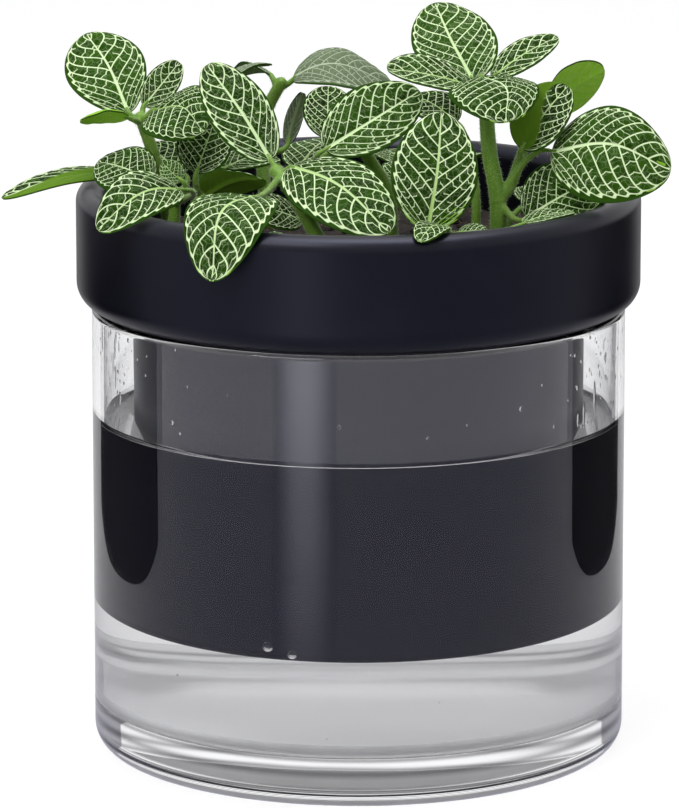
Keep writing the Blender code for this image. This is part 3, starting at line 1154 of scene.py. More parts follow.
@dataclass
class SoilFill:
    """The potting soil, with a crumbly top."""

    bore: float = 49.2 * MM
    bottom: float = 42.5 * MM
    ledge: float = 120.6 * MM
    wide: float = 62.5 * MM
    top: float = 126.0 * MM
    slump: float = 1.5 * MM
    rings: int = 46
    relief: float = 1.3 * MM
    coarse: float = 190.0
    coarse_part: float = 0.6
    fine: float = 620.0
    fine_part: float = 0.4
    lumps: int = 60
    lump_sizes: Span = (1.3, 2.6)
    crumbs: int = 260
    crumb_sizes: Span = (0.4, 1.1)
    crumb_lift: float = 0.1
    crumb_stretch: Span = (0.7, 1.3)
    crumb_squash: Span = (0.45, 0.8)
    crumb_relief: float = 0.45
    crumb_roughness: float = 700.0
    seed: int = 4

    def build(self) -> None:
        """Make the soil: a turned filling, its top roughened, with loose crumbs pressed in."""
        outline = [
            Corner(0, self.bottom),
            Corner(self.bore, self.bottom),
            Corner(self.bore, self.ledge),
            Corner(self.wide, self.ledge),
            Corner(self.wide, self.top - self.slump),
        ]
        outline += [Corner(self.wide * (1 - ring / self.rings), self.top) for ring in range(self.rings + 1)]
        bm = turned(outline, 192)
        for vert in bm.verts:
            if vert.co.z > self.top - WELD:
                coarse = noise.noise(vert.co * self.coarse)
                fine = noise.noise(vert.co * self.fine)
                vert.co.z += self.relief * (self.coarse_part * coarse + self.fine_part * fine)
        self.scatter(bm)
        finish = PottingMix().material("potting_mix")
        put("soil", bm, [finish], "plant", ["potting_soil"], sharp=80)

    def scatter(self, bm: bmesh.types.BMesh) -> None:
        """Press lumps and crumbs into the top.

        Args:
            bm: The soil's shape.
        """
        dice = random.Random(self.seed)
        for index in range(self.lumps + self.crumbs):
            large = index < self.lumps
            size = dice.uniform(*(self.lump_sizes if large else self.crumb_sizes)) * MM
            reach = (self.wide - size) * math.sqrt(dice.random())
            turn = dice.uniform(0, math.tau)
            place = around(turn, reach, self.top + size * self.crumb_lift)
            spans = (self.crumb_stretch, self.crumb_stretch, self.crumb_squash)
            stretch = [dice.uniform(*span) for span in spans]
            turned_about = Matrix.Rotation(dice.uniform(0, math.tau), 4, "Z")
            matrix = Matrix.Translation(place) @ turned_about @ Matrix.Diagonal((*stretch, 1.0))
            grown = bmesh.ops.create_icosphere(bm, subdivisions=2 if large else 1, radius=size, matrix=matrix)
            for vert in grown["verts"]:
                away = vert.co - place
                rough = noise.noise(vert.co * self.crumb_roughness)
                vert.co = place + away * (1 + self.crumb_relief * rough)


class Tone(Enum):
    """How green a leaf is, from a deep dark green to a fresh one. The pale one is greyish."""

    DEEP = 0.1
    USUAL = 0.5
    BRIGHT = 0.7
    FRESH = 0.95
    PALE = 2.0


@dataclass(frozen=True)
class Foot:
    """Where a stem starts on the soil: x and y in hundredths of the collar's radius."""

    x: float
    y: float


@dataclass(frozen=True)
class Fork:
    """Where a stem branches off a joint of another stem."""

    stem: str
    joint: int


@dataclass(frozen=True)
class StemPlan:
    """A stem: its radius in millimetres, its start, and the places it goes through."""

    radius: float
    start: Union[Foot, Fork]
    points: tuple[Place, ...]


@dataclass(frozen=True)
class LeafPlan:
    """A leaf: the joint its stalk leaves, its two ends, width, facing, arch, cup, crest and widest place.

    The sway moves the midrib off the middle by a share of the half width. A fold is the share of the
    half width that lies turned over at the base, and how much less does towards the tip.
    """

    stem: str
    joint: int
    base: Place
    tip: Place
    width: float
    faces: Place
    arch: float
    cup: float = 0.0
    crest: float = 0.5
    widest: float = 0.92
    tone: Tone = Tone.USUAL
    sway: float = 0.0
    fold: Optional[tuple[float, float]] = None


STEMS: dict[str, StemPlan] = {
    "stem_left": StemPlan(1.9, Foot(-67.1, 7.1), ((-68.6, 7.1, -5), (-72.9, 7.1, 7), (-77.1, 5.7, 16))),
    "stem_left_low": StemPlan(1.7, Foot(-65.7, -15.7), ((-65, -15.7, -8), (-64.3, -15.7, -1))),
    "stem_mid_left": StemPlan(2.3, Foot(-55.7, 1.4), ((-55, 0, -4), (-52.9, 8.6, 8), (-50, 21.4, 19))),
    "stem_front": StemPlan(
        2.1, Foot(-8.6, -52.9), ((-14.3, -52.9, -6), (-22.1, -45.7, 3), (-28.6, -37.1, 8))
    ),
    "stem_back": StemPlan(1.9, Foot(-32.9, 30), ((-34.3, 36.4, 3), (-32.9, 42.9, 13), (-27.9, 44.3, 20))),
    "stem_back_right": StemPlan(1.6, Foot(22.9, 30), ((23.6, 34.3, -4),)),
    "stem_right_back": StemPlan(1.5, Foot(51.4, 5.7), ((53.6, 7.1, -9),)),
    "stem_centre": StemPlan(1.9, Foot(11.4, -8.6), ((10, -12.9, 0), (2.9, -11.4, 9), (0, -4.3, 14))),
    "stem_right": StemPlan(2.3, Foot(48.6, -27.1), ((48.8, -24.3, -1), (45.8, -20, 11), (44.6, -12.9, 26))),
    "stem_right_side": StemPlan(
        1.6, Fork("stem_right", 0), ((52.9, -22.9, 2.5), (56.5, -20, 8.5), (59.6, -16.4, 15.5))
    ),
    "stem_right_rear": StemPlan(1.3, Foot(41.4, -7.1), ((41.4, -5.7, -2), (39.3, 0, 8))),
    "stem_right_front": StemPlan(1.6, Foot(38.6, -54.3), ((35, -60, -9), (28.6, -64.3, -4.5))),
}

LEAVES: dict[str, LeafPlan] = {
    "leaf_left_crown": LeafPlan(
        "stem_left", 2, (-81.4, 5.7, 17.5), (-97.1, 32.9, 34), 20, (0.1, -1, 0.55), 1.5, -0.1,
        widest=1.15, tone=Tone.BRIGHT, sway=0.08,
    ),
    "leaf_left_side": LeafPlan(
        "stem_left", 2, (-81.4, 0, 17), (-97.9, -5.7, 17), 11, (0, 0.5, 1), 1.5, -0.2,
        tone=Tone.FRESH, fold=(0.4, 0.6),
    ),
    "leaf_left_bud": LeafPlan(
        "stem_left", 2, (-75.7, 7.9, 19), (-63.6, 17.1, 28.5), 8, (0.3, -1, 0.6), 0.5, 0.1
    ),
    "leaf_left_inner": LeafPlan(
        "stem_left", 2, (-72.1, 0, 18.8), (-54.3, -12.9, 15), 21, (0.25, -0.9, 0.9), 3, sway=-0.15
    ),
    "leaf_left_long": LeafPlan(
        "stem_left", 0, (-77.9, 12.9, 1), (-125.7, -5.7, -2.6), 12, (0, -0.12, 1), 2.8,
        tone=Tone.DEEP, fold=(1.0, 1.3),
    ),
    "leaf_left_lip": LeafPlan(
        "stem_left_low", 1, (-72.9, -13.6, 3.2), (-92.1, 0, 5.8), 16, (0, -0.8, 1), 1.5, -0.1
    ),
    "leaf_left_over_lip": LeafPlan(
        "stem_left_low", 1, (-62.1, -45, 4.8), (-89.7, -62.9, -2.7), 14.5, (-0.15, -0.9, 0.8), 6
    ),
    "leaf_left_tiny": LeafPlan(
        "stem_left_low", 1, (-62.1, -23.6, 4), (-68.6, -20.7, 8), 6, (-0.3, -1, 0.6), 0.4, 0.1,
        tone=Tone.FRESH,
    ),
    "leaf_left_dark": LeafPlan(
        "stem_left", 0, (-62.4, 17.1, 0.4), (-75.7, 29.3, 6), 12, (0, -0.8, 1), 1, tone=Tone.DEEP
    ),
    "leaf_mid_left_up": LeafPlan(
        "stem_mid_left", 0, (-57.1, -7.1, 4), (-50.7, 1.4, 16), 14, (-0.2, -1, 0.6), 1, 0.1, tone=Tone.DEEP
    ),
    "leaf_mid_left_under": LeafPlan(
        "stem_mid_left", 0, (-52.9, -24.3, 1), (-34.3, -44.3, 7.5), 14, (0.2, 0.5, 1), 1.5
    ),
    "leaf_mid_left_flat": LeafPlan(
        "stem_mid_left", 1, (-47.1, 2.9, 4), (-28.6, 12.9, 5), 13, (0, -0.2, 1), 1.5
    ),
    "leaf_mid_left_back": LeafPlan(
        "stem_mid_left", 2, (-47.1, 24.3, 23), (-31.4, 34.3, 26), 8, (0, 0.25, 1), 2, -0.1, tone=Tone.PALE
    ),
    "leaf_front_drooping": LeafPlan(
        "stem_front", 2, (-35.7, -62.9, 5.5), (-50, -95.7, -10.5), 22, (-0.2, -0.6, 1), 7.5,
        widest=0.85, sway=0.22,
    ),
    "leaf_front_tall": LeafPlan(
        "stem_front", 2, (-30.7, -35.7, 11), (-52.9, -17.1, 32), 15, (0, -1, 0.55), 0.8, 0.1
    ),
    "leaf_front_centre": LeafPlan(
        "stem_front", 2, (-23.6, -40.7, 9.8), (10.4, -71.4, -2.2), 22, (0.3, -0.9, 0.8), 3, -0.05,
        crest=0.45, sway=-0.12,
    ),
    "leaf_front_shade": LeafPlan(
        "stem_front", 1, (-20, -35.7, -4), (-38.6, -42.9, 0), 12, (0, -0.7, 1), 1, tone=Tone.DEEP
    ),
    "leaf_front_low": LeafPlan("stem_front", 0, (-20, -61.4, -6), (-31.4, -74.3, -5), 9, (0, -0.5, 1), 1),
    "leaf_centre_bright": LeafPlan(
        "stem_centre", 2, (-11.4, -24.3, 12), (21.4, -8.6, 24.5), 18, (0, -0.9, 0.75), 1, 0.1,
        tone=Tone.BRIGHT, sway=0.06,
    ),
    "leaf_centre_dark": LeafPlan(
        "stem_centre", 2, (-10.7, -1.4, 12), (-10.7, 12.9, 23), 13, (0.1, -1, 0.5), 0.8, 0.1, tone=Tone.DEEP
    ),
    "leaf_centre_back": LeafPlan("stem_centre", 0, (14.3, 4.3, 0), (25.7, 31.4, 0), 16, (0, -0.2, 1), 2),
    "leaf_back_arching": LeafPlan(
        "stem_back", 2, (-23.6, 45, 21), (12.9, 48.6, 18.5), 20, (0, -0.35, 1), 5.5, -0.1,
        crest=0.4, tone=Tone.PALE,
    ),
    "leaf_back_thin": LeafPlan(
        "stem_back", 2, (-31.4, 46.4, 22), (-45, 54.3, 21), 10, (0, 0.5, 1), 2.5, -0.1, tone=Tone.PALE
    ),
    "leaf_back_pale": LeafPlan(
        "stem_back", 0, (-25.7, 42.9, 5), (-20, 48.6, 17), 5, (-0.3, 0.9, 0.3), 0.5, tone=Tone.PALE
    ),
    "leaf_back_middle": LeafPlan("stem_back", 0, (-21.4, 50, -2), (-8.6, 77.1, 2), 17, (0, 0.3, 1), 2),
    "leaf_back_left": LeafPlan("stem_back", 0, (-35.7, 41.4, -1), (-51.4, 65.7, -1), 16, (0, 0.3, 1), 2),
    "leaf_back_right": LeafPlan("stem_back_right", 0, (30, 41.4, -1), (40, 65.7, -2), 15, (0, 0.3, 1), 2),
    "leaf_back_inner": LeafPlan("stem_back_right", 0, (17.1, 40, 0), (7.1, 58.6, 1), 14, (0, 0.1, 1), 1.5),
    "leaf_right_back": LeafPlan(
        "stem_right_back", 0, (60, 12.9, -6), (72.9, 34.3, -6), 15, (0.2, 0.3, 1), 1.5
    ),
    "leaf_right_crown": LeafPlan(
        "stem_right", 2, (40, -10, 27.5), (27.1, 21.4, 43), 21, (0.15, -1, 0.7), 1.5, -0.1,
        tone=Tone.BRIGHT, sway=-0.05,
    ),
    "leaf_right_crown_left": LeafPlan(
        "stem_right", 2, (38.6, -15.7, 27), (10, -24.3, 32), 14, (0, -0.5, 1), 1, 0.1
    ),
    "leaf_right_crown_back": LeafPlan("stem_right", 2, (47.1, -7.1, 28), (70, 0, 37), 11, (-0.5, -0.7, 1), 1),
    "leaf_right_crown_front": LeafPlan(
        "stem_right", 2, (42.9, -18.6, 29.5), (51.4, -41.4, 21), 23, (0.1, -0.5, 1), 3, -0.12, sway=-0.28
    ),
    "leaf_right_under": LeafPlan(
        "stem_right_side", 2, (64.3, -11.4, 19), (86.4, -2.9, 29.5), 16, (-0.5, 0.9, 0.6), 1,
        widest=1.1, tone=Tone.FRESH,
    ),
    "leaf_right_folded": LeafPlan(
        "stem_right_side", 1, (57.1, -25.7, 12.5), (72.9, -20, 27), 15, (-0.5, -0.9, 0.3), 1, 0.25,
        tone=Tone.DEEP, fold=(0.7, 1.5),
    ),
    "leaf_right_over_lip": LeafPlan(
        "stem_right", 0, (67.4, -28.6, 12), (108.6, -37.1, 8.5), 25, (0.1, -1, 0.55), 5, -0.05,
        tone=Tone.BRIGHT, sway=-0.24,
    ),
    "leaf_right_low": LeafPlan(
        "stem_right", 0, (58.6, -31.4, -4), (85, -21.4, 5), 20, (-0.3, -0.9, 0.75), 1.5
    ),
    "leaf_right_thin": LeafPlan(
        "stem_right_front", 0, (57.1, -55.7, -2), (74.3, -47.1, -0.5), 8, (0, -0.1, 1), 0.8
    ),
    "leaf_right_dark": LeafPlan(
        "stem_right_rear", 1, (34.3, 7.1, 15), (20, 20, 20), 12, (0, -0.5, 1), 1, tone=Tone.DEEP
    ),
    "leaf_lip_upright": LeafPlan(
        "stem_right_front", 1, (23.9, -74.3, -1), (28.6, -55.7, 25), 21, (0.05, -1, 0.45), 1.2, -0.1
    ),
    "leaf_lip_small": LeafPlan(
        "stem_right_front", 1, (28.6, -83.6, 1), (20.7, -98.6, -0.6), 8, (0, -0.4, 1), 1.8
    ),
    "leaf_lip_tiny": LeafPlan(
        "stem_right_front", 0, (34.3, -74.3, -2), (44.3, -74.3, -1.5), 7, (0, -0.3, 1), 0.5
    ),
}


@dataclass
class Blade:
    """One leaf's blade: the bent, quilted and veined sheet of a leaf plan.

    A leaf of the usual width, in millimetres, has the vein pairs and the rows of rungs that are drawn for it.
    """

    plan: LeafPlan
    seed: int
    thickness: float = 0.36 * MM
    end_width: float = 1.2 * MM
    roundness: float = 0.56
    quilting: float = 0.26 * MM
    groove: float = 0.35 * MM
    groove_width: float = 0.9 * MM
    waviness: float = 0.35 * MM
    rib_depth: float = 0.5 * MM
    rib_width: float = 0.5 * MM
    fineness: float = 0.42 * MM
    slope_step: float = 0.01
    usual_width: float = 20.0
    width_span: Span = (0.45, 1.1)
    density_power: float = 0.4
    vein_pairs: Span = (6.6, 7.8)
    vein_sweep: float = 0.62
    vein_climb: float = 0.4
    vein_curl: float = 0.1
    vein_wander: float = 0.03
    rung_rows: Span = (11.0, 13.0)
    rung_along: float = 0.68
    rung_across: float = 0.73
    rung_wander: float = 0.25
    sway_differs: float = 0.06
    turnover: float = 0.06
    quilt_width: float = 18.0
    quilt_most: float = 1.2
    rib_clear: Span = (0.0, 0.25)
    edge_clear: Span = (1.0, 0.86)
    base_clear: Span = (0.0, 0.08)
    tip_clear: Span = (1.0, 0.93)
    rib_taper: float = 0.7
    base: Vector = field(init=False)
    chord: Vector = field(init=False)
    up: Vector = field(init=False)
    skew: float = field(init=False)
    pairs: float = field(init=False)
    phases: tuple[float, float] = field(init=False)
    rungs: float = field(init=False)
    sway: float = field(init=False)

    def __post_init__(self) -> None:
        """Work out the leaf's own line, and draw its veins' number and places."""
        dice = random.Random(self.seed)
        self.base = on_pot(self.plan.base)
        self.chord = on_pot(self.plan.tip) - self.base
        faces = Vector(self.plan.faces)
        self.up = (faces - self.chord * faces.dot(self.chord) / self.chord.length_squared).normalized()
        self.skew = math.log(0.5) / math.log(self.plan.crest)
        least, most = self.width_span
        density = min(max(self.plan.width / self.usual_width, least), most) ** self.density_power
        self.pairs = dice.uniform(*self.vein_pairs) * density
        self.phases = (dice.random(), dice.random())
        self.rungs = dice.uniform(*self.rung_rows) * density
        self.sway = self.plan.sway + dice.uniform(-self.sway_differs, self.sway_differs)

    @property
    def length(self) -> float:
        """The distance from the base to the tip."""
        return self.chord.length

    def midrib(self, share: float) -> Vector:
        """The midrib's place at a share of the length."""
        arch = self.up * self.plan.arch * MM * math.sin(math.pi * share**self.skew)
        return self.base + self.chord * share + arch

    def half_width(self, share: float) -> float:
        """Half the width at a share of the length."""
        swell = max(math.sin(math.pi * share**self.plan.widest), 0.0) ** self.roundness
        return (self.end_width + (self.plan.width * MM - self.end_width) * swell) / 2

    def off_midrib(self, share: float, across: float) -> float:
        """The signed distance from the drawn midrib, where 1 is the edge, at a place across the blade."""
        line = self.sway * math.sin(math.pi * share)
        return (across - line) / (1 - line if across > line else 1 + line)

    def drift(self, share: float, side: float, row: float) -> float:
        """A slow wander of the veins over the leaf, about zero."""
        return noise.noise(Vector((share * 3.2, side * 1.3, self.seed * 7.3 + row)))

    def rank(self, share: float, edge: float, phase: float, wander: float) -> float:
        """Which lateral vein a place is at, counted along the leaf, where a whole number is a vein.

        Args:
            share: The share of the length.
            edge: The distance from the midrib, as a share of the half width.
            phase: Where this side's veins start.
            wander: How far the veins stray here.

        Returns:
            The count.
        """
        start = self.vein_climb * edge + self.vein_curl * edge**4
        along = share + self.vein_wander * wander - start
        return self.pairs * along / (1 - self.vein_sweep * start) + phase

    def shows_upper(self, share: float, across: float) -> float:
        """Which side the blade shows.

        Args:
            share: The share of the length.
            across: The place across the blade, from -1 to 1.

        Returns:
            One where it shows its veined side, and zero where it is turned over.
        """
        if self.plan.fold is None:
            return 1.0
        at_base, less = self.plan.fold
        return smooth(-self.turnover, self.turnover, across - at_base + less * share)

    def lift(self, share: float, side: float) -> float:
        """How far the upper side stands off the smooth leaf.

        Args:
            share: The share of the length.
            side: The signed distance from the midrib, as a share of the half width.

        Returns:
            The height.
        """
        edge = abs(side)
        half = self.half_width(share)
        phase = self.phases[1 if side > 0 else 0]
        count = self.rank(share, edge, phase, self.drift(share, side, 0.0))
        away = abs(count - round(count)) * 2
        pillow = math.sqrt(max(away, 0.0)) * smooth(*self.rib_clear, edge)
        pillow *= smooth(*self.edge_clear, edge)
        size = min(self.plan.width / self.quilt_width, self.quilt_most)
        ends = smooth(*self.base_clear, share) * smooth(*self.tip_clear, share)
        wave = noise.noise(Vector((share * 4.5, math.copysign(2.0, side), self.seed * 3.1))) * edge**3
        groove = math.exp(-((edge * half / self.groove_width) ** 2))
        quilt = self.quilting * size * pillow * ends
        return quilt + self.waviness * size * wave * ends - self.groove * size * groove * ends

    def shape(self) -> bmesh.types.BMesh:
        """Bend, narrow and quilt a flat grid, thicken it, and write where each point is in the leaf.

        Returns:
            The blade, closed, with its upper side up.
        """
        plan = self.plan
        columns = 2 * max(round(plan.width * MM / self.fineness / 2), 7)
        rows = max(round(self.length / self.fineness), 20)
        bm = bmesh.new()
        bmesh.ops.create_grid(bm, x_segments=columns, y_segments=rows, size=1.0)
        blade = bm.verts.layers.float_vector.new("blade")
        veins = bm.verts.layers.float_vector.new("veins")
        growth = bm.verts.layers.float_vector.new("growth")
        for vert in bm.verts:
            across = vert.co.x
            share = (1 + math.sin(math.pi / 2 * vert.co.y)) / 2
            side = self.off_midrib(share, across)
            edge = abs(side)
            half = self.half_width(share)
            after, before = min(share + self.slope_step, 1), max(share - self.slope_step, 0)
            along = (self.midrib(after) - self.midrib(before)).normalized()
            above = (self.up - along * self.up.dot(along)).normalized()
            wander = self.drift(share, side, 0.0)
            slim = half / self.length
            rung = (self.rung_along * share + self.rung_across * edge * slim) * self.rungs
            rung += self.rung_wander * self.drift(share, side, 5.0)
            vert[blade] = (share, side, slim)
            vert[veins] = (
                self.rank(share, edge, self.phases[0], wander),
                self.rank(share, edge, self.phases[1], wander),
                rung,
            )
            vert[growth] = (self.seed, self.shows_upper(share, across), plan.tone.value)
            height = plan.cup * half * across**2 + self.lift(share, side)
            vert.co = self.midrib(share) + along.cross(above) * across * half + above * height
        upper = set(bm.verts)
        bmesh.ops.solidify(bm, geom=bm.faces[:], thickness=self.thickness)
        for vert in bm.verts:
            if vert not in upper:
                share, side, slim = vert[blade]
                vert[growth] = (self.seed, 0.0, plan.tone.value)
                taper = (1 - share) ** self.rib_taper
                rib = math.exp(-((side * slim * self.length / self.rib_width) ** 2)) * taper
                vert.co -= self.up * self.rib_depth * rib
        return bm


def smooth(low: float, high: float, value: float) -> float:
    """A smooth step from zero at low to one at high, or down where low is the greater."""
    share = min(max((value - low) / (high - low), 0.0), 1.0)
    return share * share * (3 - 2 * share)


def on_pot(place: Place) -> Vector:
    """A place of the plant in metres, from its x and y in hundredths of the collar's radius."""
    x, y = (part * ClayPot.collar / 100 for part in place[:2])
    return Vector((x, y, ClayPot.lip_top + place[2] * MM))


@dataclass
class NervePlant:
    """The plant: fleshy jointed stems with leaf stalks and fine hair, and quilted leaves."""

    soil_top: float = StemSkin.foot
    stem_foot: float = 2.5 * MM
    stem_sunk: float = 1.5 * MM
    stem_taper: float = 0.8
    stalk_radius: float = 0.7 * MM
    stalk_taper: float = 0.75
    stalk_bend: float = 0.3
    stalk_end: float = 1.6 * MM
    stalk_below: float = 0.35 * MM
    node_swell: float = 1.04
    voxel: float = 0.28 * MM
    smoothing: int = 3
    hair_length: float = 0.65 * MM
    hair_radius: float = 0.03 * MM
    hair_tip: float = 0.15
    hair_seat: float = 0.48
    hair_spacing: float = 0.6 * MM
    hair_spread: float = 0.35
    hair_stretch: Span = (0.5, 1.2)

    def build(self) -> None:
        """Make the stems and the leaves."""
        skin = StemSkin().material("stem_skin")
        hair = HairSkin().material("stem_hair")
        leaf_skin = LeafSkin().material("leaf_skin")
        for seed, (root, names) in enumerate(self.families().items()):
            bm = settled(self.shoots(names), self.voxel, self.smoothing)
            self.grow_hair(bm, random.Random(seed))
            put(root + "_green", bm, [skin, hair], "plant", [root], sharp=180)
        for seed, (name, plan) in enumerate(LEAVES.items()):
            bm = Blade(plan, seed + 1).shape()
            put(name + "_blade", bm, [leaf_skin], "plant", [name], sharp=120)

    def families(self) -> dict[str, list[str]]:
        """Sort the stems into pieces.

        Returns:
            The stems that are one piece, by the one that stands in the soil.
        """
        out: dict[str, list[str]] = {}
        for name, stem in STEMS.items():
            root = stem.start.stem if isinstance(stem.start, Fork) else name
            out.setdefault(root, []).append(name)
        return out

    def line(self, stem: StemPlan) -> list[Vector]:
        """Follow a stem from the soil or from inside the stem it leaves.

        Args:
            stem: The stem's plan.

        Returns:
            The places that it goes through.
        """
        points = [on_pot(point) for point in stem.points]
        if isinstance(stem.start, Fork):
            return [on_pot(STEMS[stem.start.stem].points[stem.start.joint])] + points
        foot = on_pot((stem.start.x, stem.start.y, 0))
        foot.z = self.soil_top
        sunk = foot - Vector((0, 0, self.stem_sunk))
        return [sunk, foot + Vector((0, 0, self.stem_foot))] + points

    def shoots(self, names: Sequence[str]) -> bmesh.types.BMesh:
        """The overlapping tubes of some stems, with their joints and leaf stalks.

        Args:
            names: The stems.

        Returns:
            All the shapes in one.
        """
        bm = bmesh.new()
        for name in names:
            stem = STEMS[name]
            line = self.line(stem)
            fade = [1 - (1 - self.stem_taper) * index / (len(line) - 1) for index in range(len(line))]
            self.tube(bm, line, [stem.radius * MM * share for share in fade])
            for point, share in zip(line[-len(stem.points) :], fade[-len(stem.points) :]):
                size = stem.radius * MM * share * self.node_swell
                bmesh.ops.create_icosphere(bm, subdivisions=3, radius=size, matrix=Matrix.Translation(point))
        for plan in LEAVES.values():
            if plan.stem in names:
                self.stalk(bm, plan)
        return bm

    def stalk(self, bm: bmesh.types.BMesh, plan: LeafPlan) -> None:
        """Add a leaf's stalk, from inside its stem to just inside the leaf's base.

        Args:
            bm: Where it goes.
            plan: The leaf.
        """
        stem = STEMS[plan.stem]
        joint = on_pot(stem.points[plan.joint])
        if plan.joint == len(stem.points) - 1:
            below = self.line(stem)[-2]
            joint += (below - joint).normalized() * stem.radius * MM
        blade = Blade(plan, 0)
        along = (blade.midrib(blade.slope_step) - blade.midrib(0)).normalized()
        end = blade.midrib(0) + along * self.stalk_end - blade.up * self.stalk_below
        bend = end - along * (end - joint).length * self.stalk_bend
        thick = self.stalk_radius
        radii = [thick / self.stalk_taper, thick, thick * self.stalk_taper * 0.8]
        self.tube(bm, [joint, bend, end], radii)

    def tube(self, bm: bmesh.types.BMesh, points: Sequence[Vector], radii: Sequence[float]) -> None:
        """Add a smooth round shoot through some places.

        Args:
            bm: Where it goes.
            points: The places.
            radii: The radius at each.
        """
        curve = bpy.data.curves.new("shoot", "CURVE")
        curve.dimensions = "3D"
        curve.bevel_depth = 1.0
        curve.bevel_resolution = 4
        curve.resolution_u = 12
        curve.use_fill_caps = True
        spline = curve.splines.new("BEZIER")
        spline.bezier_points.add(len(points) - 1)
        for knot, point, radius in zip(spline.bezier_points, points, radii):
            knot.co = point
            knot.radius = radius
            knot.handle_left_type = "AUTO"
            knot.handle_right_type = "AUTO"
        mesh = melted(link("shoot", curve))
        bm.from_mesh(mesh)
        bpy.data.meshes.remove(mesh)

    def grow_hair(self, bm: bmesh.types.BMesh, dice: random.Random) -> None:
        """Grow fine three-sided hairs out of the skin.

        Args:
            bm: The skin.
            dice: What the hairs' places are drawn with.
        """
        skin = bm.faces[:]
        wanted = sum(face.calc_area() for face in skin) / self.hair_spacing**2
        chance = wanted / len(skin)
        roots = [(face.calc_center_median(), face.normal.copy()) for face in skin if dice.random() < chance]
        hair = self.single_hair()
        for place, normal in roots:
            jitter = Vector([dice.gauss(0, self.hair_spread) for _ in range(3)])
            heading = (normal + jitter).normalized()
            turn = heading.to_track_quat("Z", "Y").to_matrix().to_4x4()
            length = Matrix.Diagonal((1.0, 1.0, dice.uniform(*self.hair_stretch), 1.0))
            grown = hair.copy()
            grown.transform(Matrix.Translation(place) @ turn @ length)
            bm.from_mesh(grown)
            bpy.data.meshes.remove(grown)
        bpy.data.meshes.remove(hair)

    def single_hair(self) -> bpy.types.Mesh:
        """Make one hair that stands on the origin, in the second finish.

        Returns:
            The hair's mesh.
        """
        bm = bmesh.new()
        bmesh.ops.create_cone(
            bm,
            cap_ends=True,
            segments=3,
            radius1=self.hair_radius,
            radius2=self.hair_radius * self.hair_tip,
            depth=self.hair_length,
            matrix=Matrix.Translation((0, 0, self.hair_length * self.hair_seat)),
        )
        for face in bm.faces:
            face.material_index = 1
        return meshed("hair", bm)


@dataclass
class Condensation:
    """Drops and streaks of water on the inside of the glass above the water, mostly at its two sides.

    The spread is in degrees, the sizes are radii in millimetres, and tall is a height over a width.
    """

    bore: float = GlassJar.bore
    low: float = 88.0 * MM
    high: float = 111.0 * MM
    drops: int = 190
    streaks: int = 30
    scattered: int = 16
    spread: float = 24.0
    sizes: Span = (0.12, 0.5)
    drop_tall: Span = (1.0, 1.9)
    streak_tall: Span = (4.0, 9.0)
    flatness: float = 0.5
    tint: Colour = (0.98, 0.985, 0.985)
    seed: int = 11

    def build(self) -> None:
        """Make the drops."""
        dice = random.Random(self.seed)
        bm = bmesh.new()
        for index in range(self.drops + self.streaks + self.scattered):
            height = self.low + (self.high - self.low) * dice.random() ** 0.8
            side = dice.choice((0.0, math.pi))
            turn = side + math.radians(dice.gauss(0.0, self.spread))
            size = dice.uniform(*self.sizes) * MM
            tall = dice.uniform(*self.drop_tall)
            if index >= self.drops + self.streaks:
                turn = dice.uniform(0, math.tau)
            elif index >= self.drops:
                tall = dice.uniform(*self.streak_tall)
            height = min(max(height, self.low + tall * size), self.high - tall * size)
            self.drop(bm, turn, height, size, tall)
        finish = ClearWater(self.tint).material("drops")
        put("condensation", bm, [finish], "jar", sharp=180)

    def drop(self, bm: bmesh.types.BMesh, turn: float, height: float, size: float, tall: float) -> None:
        """Add a drop that clings to the glass.

        Args:
            bm: Where it goes.
            turn: Its place round the jar, in radians from +X.
            height: Its height.
            size: Its radius.
            tall: How much taller than wide it is.
        """
        shape = Matrix.Diagonal((self.flatness, 1.0, tall, 1.0))
        place = Matrix.Translation(around(turn, self.bore, height))
        matrix = place @ Matrix.Rotation(turn, 4, "Z") @ shape
        bmesh.ops.create_icosphere(bm, subdivisions=2, radius=size, matrix=matrix)


@dataclass
class Bubbles:
    """Small bubbles of air that cling to the glass below the water line.

    Each has its place round the jar in degrees from +X, and its height and radius in millimetres.
    """

    reach: float = 61.9 * MM
    places: tuple[Place, ...] = (
        (-110.3, 39.9, 1.4),
        (-104.7, 38.3, 1.2),
        (-134.0, 29.0, 0.25),
        (-97.0, 17.5, 0.2),
        (-109.0, 15.5, 0.22),
        (-118.0, 19.5, 0.16),
        (-72.0, 26.0, 0.18),
        (60.0, 24.0, 0.3),
        (121.0, 30.0, 0.4),
    )

    def build(self) -> None:
        """Make the bubbles."""
        bm = bmesh.new()
        for turn, height, size in self.places:
            place = Matrix.Translation(around(math.radians(turn), self.reach, height * MM))
            bmesh.ops.create_icosphere(bm, subdivisions=3, radius=size * MM, matrix=place)
        put("bubbles", bm, [Air().material("air")], "jar", sharp=180)


